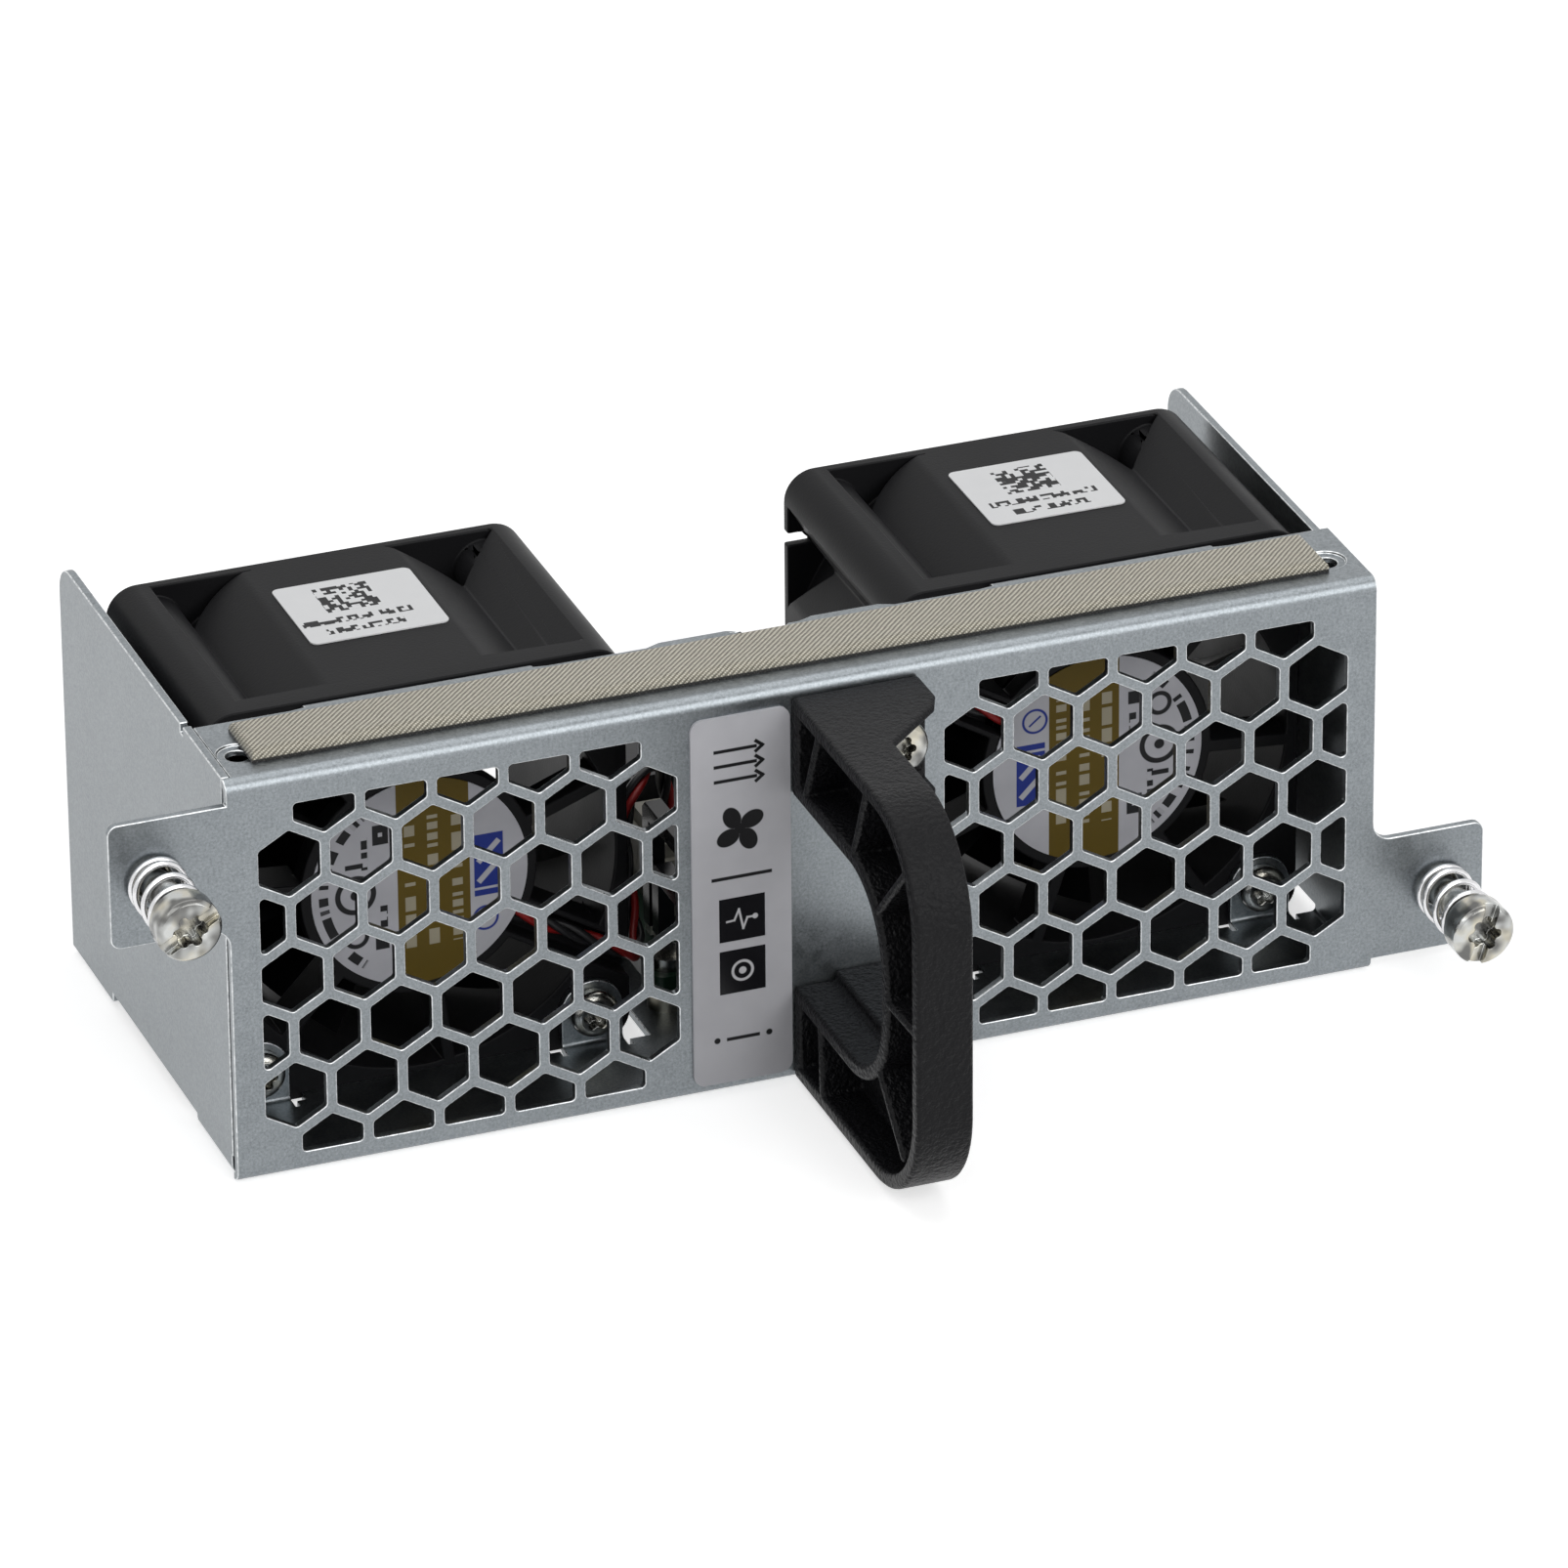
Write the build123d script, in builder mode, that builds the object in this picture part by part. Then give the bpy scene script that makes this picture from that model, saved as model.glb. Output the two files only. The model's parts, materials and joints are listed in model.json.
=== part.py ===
import math
import os
from build123d import *

os.makedirs("parts", exist_ok=True)

# Overall sizes of the tray: two fans side by side between its walls, with a gap in the middle
fan_size = 40.0
fan_depth = 28.0
fan_rise = 0.1
fan_side_gap = 1.3
centre_gap = 25.8
sheet = 0.8
tray_width = centre_gap + 2 * (fan_size + fan_side_gap + sheet)
tray_height = fan_size + 2 * fan_rise
wall_reach = 48.0
handle_reach = 30.8
bend_outer = 1.2
bend_inner = bend_outer - sheet
relief = 0.4
overrun = 2.0
contact_gap = 0.05

# Places worked out from the overall sizes, with the origin under the middle of the whole object
half_width = tray_width / 2
front_y = (handle_reach - wall_reach) / 2
plate_back_y = front_y + sheet
rear_y = front_y + wall_reach
middle_z = tray_height / 2

# Hexagon grilles
hex_flats = 5.71
hex_pitch = 6.72
hex_row_step = hex_pitch * math.sqrt(3) / 2
hex_corner = 0.4
grille_shift = 0.4
grille_drop = 0.5
grille_margin = 2.6
full_row_count = 6
row_reach = 3
grille_width = (full_row_count - 1) * hex_pitch + hex_flats
grille_height = tray_height - 2 * grille_margin
grille_x = (centre_gap + fan_size) / 2 - grille_shift
grille_z = middle_z - grille_drop

# Folded edges: depth of the folds, and the tabs and notches along them
fold_depth = 11.5
lip_step = 0.6
lip_y = front_y + fold_depth + lip_step
lip_rear_y = lip_y + sheet
fold_rear_y = front_y + fold_depth
bend_start_y = lip_rear_y - bend_outer
lip_half_width = 10.8
lip_drop = 1.9
centre_tab_x = (-6.8, 7.9)
centre_tab_width = 6.4
centre_tab_reach = 0.6
centre_notch_x = -0.4
centre_notch_width = 2.6
centre_notch_depth = 1.0
notch_slope = 1.4

# Mounting ears
ear_reach = 11.0
ear_height = 12.2
ear_corner = 1.0
ear_root = 1.8
left_ear_drop = 8.3
right_ear_rise = 7.3
ear_screw_reach = 6.8
left_ear_z = tray_height - left_ear_drop
right_ear_z = right_ear_rise
ear_centre_x = half_width + ear_screw_reach
screw_clear_radius = 1.75

# Side walls
wall_gap = 0.5
wall_corner = 3.0
wall_chamfer = 1.0
wall_raise = 1.4
wall_foot_reach = 36.0
wall_foot_y = front_y + wall_foot_reach
wall_foot_z = 0.5
right_wall_drop = 0.15
wall_notch_reach = 12.4
wall_notch_y = front_y + wall_notch_reach
wall_notch_width = 0.8
wall_notch_depth = 0.9

# Fans
fan_half = fan_size / 2
fan_x = centre_gap / 2 + fan_half
fan_y = lip_rear_y
fan_z = middle_z
fan_corner = 3.0
hole_inset = 4.0
hole_offset = fan_half - hole_inset
front_flange = 2.6
rear_flange = 1.1
duct_inset = 1.2
duct_radius = fan_half - duct_inset
duct_wall = 0.9
barrel_swell = 1.25
barrel_radius = fan_half + barrel_swell
post_crest = 4.1
post_slope_top = 3.0
post_slope_foot = 8.4
post_slope_depth = 3.1
post_depth = 8.5
pocket_arc_radius = 8.8
pocket_arc_x = -6.1
pocket_depth = 7.0
side_pocket_near = 6.8
side_pocket_inset = 3.2
side_pocket_tip_x = 12.0
side_pocket_rise = 5.3
boss_radius = 3.0
lead_channel_depth = 2.2
lead_channel_width = 3.0
lead_channel_start = 9.4
lead_exit_y = 12.0
notch_inset = 6.5
notch_width = 1.2
notch_reach = 3.2

# Motor: base, struts, bearing tube, bearings, stator, magnet, yoke and shaft
base_radius = 11.3
strut_inset = 0.3
base_depth = 2.2
strut_count = 7
strut_width = 1.2
strut_depth = 4.4
shaft_well_gap = 0.6
shaft_radius = 1.0
running_gap = 0.04
bearing_radius = 2.5
bearing_width = 2.3
tube_radius = 3.3
tube_depth = 19.0
bearing_places = (4.2, tube_depth - bearing_width)
board_depth = 0.8
motor_board_radius = 9.3
core_radius = 7.1
core_start = 6.2
core_depth = 8.8
pole_count = 4
slot_width = 3.4
coil_length = 1.9
coil_overhang = 1.3
magnet_inner = 7.6
magnet_outer = 8.9
yoke_outer = 9.5
ring_start = 4.5
ring_depth = 13.5
hub_radius = 10.6
hub_start = 3.6
hub_end = 26.4
hub_nose = 1.6
hub_face = 1.2
hub_boss_gap = 0.6
blade_count = 7
blade_tip_gap = 0.5
blade_tip_radius = duct_radius - blade_tip_gap
blade_start = 5.6
blade_end = 25.2
blade_root_radius = 9.9
blade_root_half = 3.5
blade_tip_half = 6.6
blade_root_bow = 1.2
blade_tip_bow = 1.0
blade_thickness = 0.95

# Labels
label_thickness = 0.12
hub_label_radius = 10.3
top_label_width = 13.2
top_label_depth = 11.8
top_label_corner = 0.7
top_label_shift = 0.45
top_label_start = 10.2
front_label_width = 9.5
front_label_margin = 1.6
front_label_drop = 0.4
front_label_height = tray_height - 2 * front_label_margin
front_label_x = -6.85
front_label_z = middle_z - front_label_drop
front_label_corner = 1.1
front_label_thickness = 0.3
status_size = 4.4
status_drops = (2.0, 7.3)
status_zs = [front_label_z - drop for drop in status_drops]

# Gasket strip on the upper fold
gasket_width = 6.6
gasket_height = 1.15
gasket_round = 0.85
gasket_end_inset = 3.5
gasket_setback = 3.0
gasket_half_length = half_width - gasket_end_inset
gasket_start_y = front_y + gasket_setback
dimple_inset = 2.9
dimple_setback = 5.3
dimple_x = half_width - dimple_inset
dimple_y = front_y + dimple_setback
dimple_radius = 1.9
dimple_depth = 0.25
dimple_hole = 1.1

# Handle
strap_left_x = -1.9
strap_right_x = 3.5
handle_base_rise = 0.4
handle_top_drop = 1.3
handle_base_z = handle_base_rise
handle_top_z = tray_height - handle_top_drop
handle_outer_round = 10.5
grip_reach = 22.0
lower_arm = 9.2
upper_arm = 9.8
grip_low_z = handle_base_z + lower_arm
grip_high_z = handle_top_z - upper_arm
grip_round = 8.0
handle_wall = 1.5
handle_web = 1.4
rib_width = 0.9
foot_reach = 6.8
foot_plate = 2.0
foot_height = 10.1
foot_wall = 0.9
foot_short = 5.4
foot_long = 11.6
foot_chamfer = 1.2
handle_screw_x = 7.2
handle_screw_inset = 5.2

# Screws and springs
screw_radius = 1.5
pan_head_round = 0.8
handle_screw_head_radius = 2.75
handle_screw_head = 2.0
handle_screw_length = 5.0
fan_screw_head_radius = 2.3
fan_screw_head = 1.5
fan_screw_length = 5.5
recess_depth = 1.1
recess_lobes = 6
recess_core_radius = 0.95
recess_lobe_radius = 0.34
tab_width = 5.9
tab_slot = 1.3
captive_head_radius = 3.0
captive_head_length = 3.0
captive_front = 10.2
captive_slot_width = 1.4
captive_slot_depth = 0.8
captive_recess_depth = 1.7
captive_recess_share = 1.25
captive_chamfer = 0.35
captive_tail = 5.6
captive_point = 0.5
clip_groove_radius = 1.2
captive_angles = (31.0, 73.0)
collar_radius = 2.6
collar_width = 0.9
spring_wire = 0.6
spring_radius = 2.75
spring_end_turns = (1.4, 0.8)
spring_open_turns = 2.1
spring_coil_gap = 0.12

# Floor tongue with the connector board
tongue_margin = 1.3
tongue_reach = 44.0
tongue_half_width = centre_gap / 2 - tongue_margin
tongue_rear_y = front_y + tongue_reach
tongue_round = 2.0
spacer_radius = 1.9
spacer_height = 2.6
board_screw_radius = 1.1
board_screw_head = 1.9
board_screw_head_height = 1.2
board_screw_space = 0.6
board_thickness = 1.6
board_setback = 13.9
board_length = 28.6
board_start_y = front_y + board_setback
board_end_y = board_start_y + board_length
board_round = 1.0
board_hole_inset = 2.0
board_hole_front = 2.6
board_hole_rear = 9.5
board_hole_ys = (board_start_y + board_hole_front, board_end_y - board_hole_rear)
header_width = 5.2
header_length = 10.4
header_height = 5.8
header_wall = 0.7
header_gap = 0.6
header_setback = 16.1
header_x = (header_width + header_gap) / 2
header_y = board_start_y + header_setback
board_hole_x = header_x + header_width / 2 + board_screw_space + board_screw_head
board_width = 2 * (board_hole_x + board_hole_inset)
plug_gap = 0.1
plug_rise = 1.4
rear_plug_width = 16.0
rear_plug_height = 8.4
rear_plug_length = 9.0
rear_plug_reach = 3.4
rear_plug_round = 0.8
contact_count = 6
contact_pitch = 2.2
contact_width = 0.9
contact_height = 5.6
contact_depth = 6.0
pipe_size = 1.6
pipe_clearance = 0.05
pipe_spacing = 2.4
pipe_setback = 6.5
pipe_y = (board_start_y + pipe_setback + pipe_spacing, board_start_y + pipe_setback)
led_size = 1.4
led_height = 1.0
pipe_flange = 0.6
lead_radius = 0.8

board_z = sheet + spacer_height
board_top_z = board_z + board_thickness
fold_top_z = tray_height - sheet


def facing_front(y):
    """Sketch plane across the tray at depth y: right is +X, up is +Z, and it faces the front."""
    return Plane.XZ.offset(-y)


# Hexagon pattern of one grille window, clipped to its rectangle
with BuildSketch() as grille:
    for row in range(-row_reach, row_reach + 1):
        odd = row % 2
        if odd and abs(row) == 1:
            count = full_row_count + 1
        elif odd:
            count = full_row_count - 1
        else:
            count = full_row_count
        with Locations((0, row * hex_row_step)):
            with GridLocations(hex_pitch, hex_row_step, count, 1):
                RegularPolygon(hex_flats / 2, 6, major_radius=False, rotation=30)
    Rectangle(grille_width, grille_height, mode=Mode.INTERSECT)
    fillet(grille.vertices(), hex_corner)

# Outline of the front sheet with both ears
with BuildSketch(facing_front(plate_back_y)) as front_sheet:
    with Locations((0, middle_z)):
        Rectangle(tray_width, tray_height - 2 * bend_outer)
    with Locations((-half_width, left_ear_z), (half_width, right_ear_z)):
        Rectangle(2 * ear_reach, ear_height)
    ear_ends = front_sheet.vertices().filter_by(lambda v: abs(v.X) > half_width + ear_reach / 2)
    fillet(ear_ends, ear_corner)
    ear_roots = front_sheet.vertices().filter_by(
        lambda v: abs(abs(v.X) - half_width) < contact_gap and bend_outer + ear_root < v.Y
        and v.Y < tray_height - bend_outer - ear_root)
    fillet(ear_roots, ear_root)

# Folded section of the front, top and bottom
with BuildSketch(Plane.YZ) as fold_section:
    with Locations((front_y, 0)):
        Rectangle(lip_rear_y - front_y, tray_height, align=(Align.MIN, Align.MIN))
    fillet(fold_section.vertices().group_by(Axis.X)[0], bend_outer)
    with BuildSketch(Plane.YZ, mode=Mode.SUBTRACT) as fold_inside:
        with Locations((plate_back_y, sheet)):
            Rectangle(lip_rear_y - front_y, tray_height - 2 * sheet, align=(Align.MIN, Align.MIN))
        fillet(fold_inside.vertices().group_by(Axis.X)[0], bend_inner)

# Rear edge of the upper fold: what stays behind the straight edge is lips and tabs
with BuildSketch(Plane.XY.offset(middle_z)) as upper_trim:
    with Locations((0, fold_rear_y)):
        Rectangle(tray_width + overrun, lip_rear_y - fold_rear_y + overrun, align=(Align.CENTER, Align.MIN))
    for x in (-fan_x, fan_x):
        with BuildLine():
            Polyline((x - lip_half_width - notch_slope, fold_rear_y), (x - lip_half_width, bend_start_y),
                     (x + lip_half_width, bend_start_y), (x + lip_half_width + notch_slope, fold_rear_y),
                     close=True)
        make_face(mode=Mode.SUBTRACT)
    for x in centre_tab_x:
        half_tab = centre_tab_width / 2
        tab_y = fold_rear_y + centre_tab_reach
        with BuildLine():
            Polyline((x - half_tab - notch_slope, fold_rear_y), (x - half_tab, tab_y),
                     (x + half_tab, tab_y), (x + half_tab + notch_slope, fold_rear_y), close=True)
        make_face(mode=Mode.SUBTRACT)
    notch_y_inner = fold_rear_y - centre_notch_depth
    half_notch = centre_notch_width / 2
    with BuildLine():
        Polyline((centre_notch_x - half_notch - notch_slope, fold_rear_y),
                 (centre_notch_x - half_notch, notch_y_inner), (centre_notch_x + half_notch, notch_y_inner),
                 (centre_notch_x + half_notch + notch_slope, fold_rear_y), close=True)
    make_face()

# Places of the upright screw tabs in front of the fans' lower corners
tab_xs = [side * fan_x + hand * hole_offset for side in (-1, 1) for hand in (-1, 1)]
screw_z = fan_z - hole_offset
tab_height = screw_z + tab_width / 2

# Rear edge of the lower fold: tabs and the floor tongue stay
with BuildSketch(Plane.XY.offset(-overrun)) as lower_trim:
    with Locations((0, fold_rear_y)):
        Rectangle(tray_width + overrun, lip_rear_y - fold_rear_y + overrun, align=(Align.CENTER, Align.MIN))
    with Locations(*[(x, fold_rear_y) for x in tab_xs], (0, fold_rear_y)):
        Rectangle(tab_width, 2 * (bend_start_y - fold_rear_y), mode=Mode.SUBTRACT)
    with Locations((-fan_x, fold_rear_y), (fan_x, fold_rear_y)):
        Rectangle(2 * hole_offset - tab_width - 2 * tab_slot, 2 * (lip_rear_y - fold_rear_y),
                  mode=Mode.SUBTRACT)
    for x in tab_xs:
        for hand in (-1, 1):
            with Locations((x + hand * (tab_width + relief) / 2, fold_rear_y)):
                Rectangle(relief, 2 * centre_notch_depth)

with BuildPart() as tray_shell:
    # front plate, folds and ears
    extrude(fold_section.sketch, amount=half_width, both=True)
    extrude(front_sheet.sketch, amount=sheet)
    # lips, tabs and notches of the two folds
    extrude(upper_trim.sketch, amount=tray_height, mode=Mode.SUBTRACT)
    extrude(lower_trim.sketch, amount=middle_z, mode=Mode.SUBTRACT)
    # ends of the folds: the left wall passes outside the upper fold, and the lower corners are relieved
    with Locations((-half_width, front_y + bend_outer, tray_height)):
        Box(2 * (sheet + contact_gap), fold_depth + overrun, 2 * sheet,
            align=(Align.CENTER, Align.MIN, Align.CENTER), mode=Mode.SUBTRACT)
    with Locations((-half_width, front_y + bend_outer, 0), (half_width, front_y + bend_outer, 0)):
        Box(2 * bend_outer, fold_depth + overrun, 2 * sheet,
            align=(Align.CENTER, Align.MIN, Align.CENTER), mode=Mode.SUBTRACT)
    # lower bends that carry the side walls
    for side in (-1, 1):
        with BuildSketch(facing_front(front_y + bend_outer + relief)) as wall_bend:
            with Locations((side * half_width, 0)):
                Rectangle(2 * bend_outer, 2 * (wall_raise + sheet))
            with Locations((side * (half_width - bend_outer), bend_outer)):
                Circle(bend_inner, mode=Mode.SUBTRACT)
                Rectangle(2 * bend_inner, 2 * wall_raise, mode=Mode.SUBTRACT,
                          align=(Align.CENTER, Align.MIN))
            with BuildSketch(facing_front(front_y), mode=Mode.INTERSECT) as wall_outside:
                Rectangle(tray_width, 2 * (wall_raise + sheet), align=(Align.CENTER, Align.MIN))
                fillet(wall_outside.vertices().group_by(Axis.Y)[0], bend_outer)
        extrude(amount=-(fold_depth - bend_outer - relief))
    # side walls
    for side, top_z in ((-1, tray_height), (1, fold_top_z - right_wall_drop)):
        wall_plane = Plane.YZ.offset(side * half_width if side < 0 else half_width - sheet)
        wall_front_y = plate_back_y + wall_gap
        with BuildSketch(wall_plane) as wall:
            with BuildLine():
                Polyline((wall_front_y, top_z), (wall_front_y, wall_raise + sheet),
                         (front_y + bend_outer + relief, wall_raise + sheet),
                         (front_y + bend_outer + relief, wall_raise), (wall_foot_y, wall_raise),
                         (wall_foot_y, wall_foot_z), (rear_y, wall_foot_z), (rear_y, top_z), close=True)
            make_face()
            rear_ends = wall.vertices().group_by(Axis.X)[-1].sort_by(Axis.Y)
            fillet(rear_ends[-1], wall_corner)
            chamfer(rear_ends[0], wall_chamfer)
            with Locations((wall_notch_y, top_z)):
                Rectangle(wall_notch_width, 2 * wall_notch_depth, mode=Mode.SUBTRACT)
        extrude(amount=sheet)
    # upright screw tabs in front of the fans' lower corners, and lips over the fans' upper edges
    for x in tab_xs:
        with BuildSketch(Plane.YZ.offset(x - tab_width / 2)) as tab_section:
            with Locations((lip_rear_y, 0)):
                Rectangle(bend_outer + sheet, tab_height, align=(Align.MAX, Align.MIN))
            fillet(tab_section.vertices().group_by(Axis.X)[-1].sort_by(Axis.Y)[0], bend_outer)
            with BuildSketch(Plane.YZ, mode=Mode.SUBTRACT) as tab_inside:
                with Locations((lip_y, sheet)):
                    Rectangle(2 * bend_outer, tab_height, align=(Align.MAX, Align.MIN))
                fillet(tab_inside.vertices().group_by(Axis.X)[-1].sort_by(Axis.Y)[0], bend_inner)
        extrude(amount=tab_width)
    for x in (-fan_x, fan_x):
        with BuildSketch(Plane.YZ.offset(x - lip_half_width)) as lip_section:
            with Locations((lip_rear_y, tray_height)):
                Rectangle(bend_outer + sheet, sheet + lip_drop, align=(Align.MAX, Align.MAX))
            fillet(lip_section.vertices().group_by(Axis.X)[-1].sort_by(Axis.Y)[-1], bend_outer)
            with BuildSketch(Plane.YZ, mode=Mode.SUBTRACT) as lip_inside:
                with Locations((lip_y, fold_top_z)):
                    Rectangle(2 * bend_outer, tray_height, align=(Align.MAX, Align.MAX))
                fillet(lip_inside.vertices().group_by(Axis.X)[-1].sort_by(Axis.Y)[-1], bend_inner)
        extrude(amount=2 * lip_half_width)
    tab_corners = tray_shell.edges().filter_by(Axis.Y).filter_by(
        lambda e: abs(e.center().Z - tab_height) < contact_gap and e.center().Y > lip_y)
    fillet(tab_corners, tab_width / 2 - contact_gap)
    with BuildSketch(facing_front(lip_rear_y)) as tab_holes:
        with Locations(*[(x, screw_z) for x in tab_xs]):
            Circle(screw_radius + contact_gap)
    extrude(amount=bend_outer, mode=Mode.SUBTRACT)
    # floor tongue between the fans
    with BuildSketch(Plane.XY) as tongue:
        with Locations((0, fold_rear_y - overrun)):
            Rectangle(2 * tongue_half_width, tongue_rear_y - fold_rear_y + overrun,
                      align=(Align.CENTER, Align.MIN))
        fillet(tongue.vertices().group_by(Axis.Y)[-1], tongue_round)
    extrude(amount=sheet)
    # grilles, captive screw holes, status window holes and handle screw holes
    with BuildSketch(facing_front(plate_back_y + contact_gap)) as openings:
        with Locations((-grille_x, grille_z), (grille_x, grille_z)):
            add(grille.sketch)
        with Locations((-ear_centre_x, left_ear_z), (ear_centre_x, right_ear_z)):
            Circle(screw_clear_radius)
        with Locations(*[(front_label_x, z) for z in status_zs]):
            Rectangle(status_size, status_size)
        with Locations((handle_screw_x, handle_top_z - handle_screw_inset),
                       (handle_screw_x, handle_base_z + handle_screw_inset)):
            Circle(screw_radius + contact_gap)
    extrude(amount=sheet + overrun, mode=Mode.SUBTRACT)
    # dimpled holes at the ends of the upper fold
    with BuildSketch(Plane.XY.offset(tray_height)) as dimples:
        with Locations((-dimple_x, dimple_y), (dimple_x, dimple_y)):
            Circle(dimple_radius)
    extrude(amount=-dimple_depth, mode=Mode.SUBTRACT)
    with BuildSketch(Plane.XY.offset(tray_height)) as dimple_holes:
        with Locations((-dimple_x, dimple_y), (dimple_x, dimple_y)):
            Circle(dimple_hole)
    extrude(amount=-2 * sheet, mode=Mode.SUBTRACT)
    # board screw holes in the tongue
    board_holes = [(x, y) for x in (-board_hole_x, board_hole_x) for y in board_hole_ys]
    with BuildSketch(Plane.XY) as tongue_holes:
        with Locations(*board_holes):
            Circle(board_screw_radius + contact_gap)
    extrude(amount=sheet, mode=Mode.SUBTRACT)
tray_shell.part.label = "tray_shell"
export_step(tray_shell.part, "parts/tray_shell.step")

# Gasket strip: conductive fabric over a foam core
with BuildPart() as emi_gasket:
    with BuildSketch(Plane.YZ) as gasket_section:
        with Locations((gasket_start_y, tray_height)):
            Rectangle(gasket_width, gasket_height, align=(Align.MIN, Align.MIN))
        fillet(gasket_section.vertices().group_by(Axis.Y)[-1], gasket_round)
    extrude(amount=gasket_half_length, both=True)
emi_gasket.part.label = "emi_gasket"
export_step(emi_gasket.part, "parts/emi_gasket.step")

# Label plate on the front, with two status windows cut through it
with BuildPart() as front_label:
    with BuildSketch(facing_front(front_y)) as label_outline:
        with Locations((front_label_x, front_label_z)):
            RectangleRounded(front_label_width, front_label_height, front_label_corner)
        with Locations(*[(front_label_x, z) for z in status_zs]):
            Rectangle(status_size, status_size, mode=Mode.SUBTRACT)
    extrude(amount=front_label_thickness)
front_label.part.label = "front_label"
export_step(front_label.part, "parts/front_label.step")

# Light pipes: a dark window at the label, a bar to the rear and a leg down to its lamp on the board
with BuildPart() as light_pipes:
    for z, pipe_end_y in zip(status_zs, pipe_y):
        with BuildSketch(facing_front(front_y - front_label_thickness)) as window:
            with Locations((front_label_x, z)):
                Rectangle(status_size - pipe_clearance, status_size - pipe_clearance)
        extrude(amount=-(front_label_thickness + sheet))
        with BuildSketch(facing_front(plate_back_y)) as window_flange:
            with Locations((front_label_x, z)):
                Rectangle(status_size + pipe_flange, status_size + pipe_flange)
        extrude(amount=-pipe_flange)
        with BuildSketch(Plane.YZ.offset(front_label_x - pipe_size / 2)) as bar:
            with BuildLine():
                Polyline((plate_back_y + pipe_flange, z + pipe_size / 2),
                         (pipe_end_y + pipe_size / 2, z + pipe_size / 2),
                         (pipe_end_y + pipe_size / 2, board_top_z + led_height),
                         (pipe_end_y - pipe_size / 2, board_top_z + led_height),
                         (pipe_end_y - pipe_size / 2, z - pipe_size / 2),
                         (plate_back_y + pipe_flange, z - pipe_size / 2), close=True)
            make_face()
            bar_corner = bar.vertices().group_by(Axis.X)[-1].sort_by(Axis.Y)[-1]
            chamfer(bar_corner, pipe_size / 2)
        extrude(amount=pipe_size)
light_pipes.part.label = "light_pipes"
export_step(light_pipes.part, "parts/light_pipes.step")

# Lamps on the board under the light pipes
with BuildPart() as status_lamps:
    with BuildSketch(Plane.XY.offset(board_top_z)) as lamps:
        with Locations(*[(front_label_x, y) for y in pipe_y]):
            Rectangle(led_size, led_size)
    extrude(amount=led_height)
status_lamps.part.label = "status_lamps"
export_step(status_lamps.part, "parts/status_lamps.step")

# Handle: D-shaped strap, hollow from its left side with cross ribs, and two feet on its right
handle_height = handle_top_z - handle_base_z
handle_mid_z = handle_base_z + handle_height / 2
grip_height = grip_high_z - grip_low_z
grip_mid_z = (grip_high_z + grip_low_z) / 2


def strap_outline(reach, height, mid_z, corner, start=0):
    """D-shaped area in front of the plate, in the side view."""
    with BuildSketch() as outline:
        with Locations((front_y - start, mid_z)):
            Rectangle(reach - start, height, align=(Align.MAX, Align.CENTER))
        fillet(outline.vertices().group_by(Axis.X)[0], min(corner, (height - contact_gap) / 2))
    return outline.sketch


# Ribs of the hollow side, each from a point of the grip's inner outline to one of the outer outline,
# in shares of their reach and height
rib_shares = [((0.11, 1.0), (0.22, 1.0)), ((0.65, 1.0), (0.60, 1.0)), ((0.91, 0.87), (0.89, 0.88)),
              ((1.0, 0.50), (1.0, 0.50)), ((0.92, 0.13), (0.88, 0.13)), ((0.28, 0.0), (0.22, 0.0))]

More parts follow.
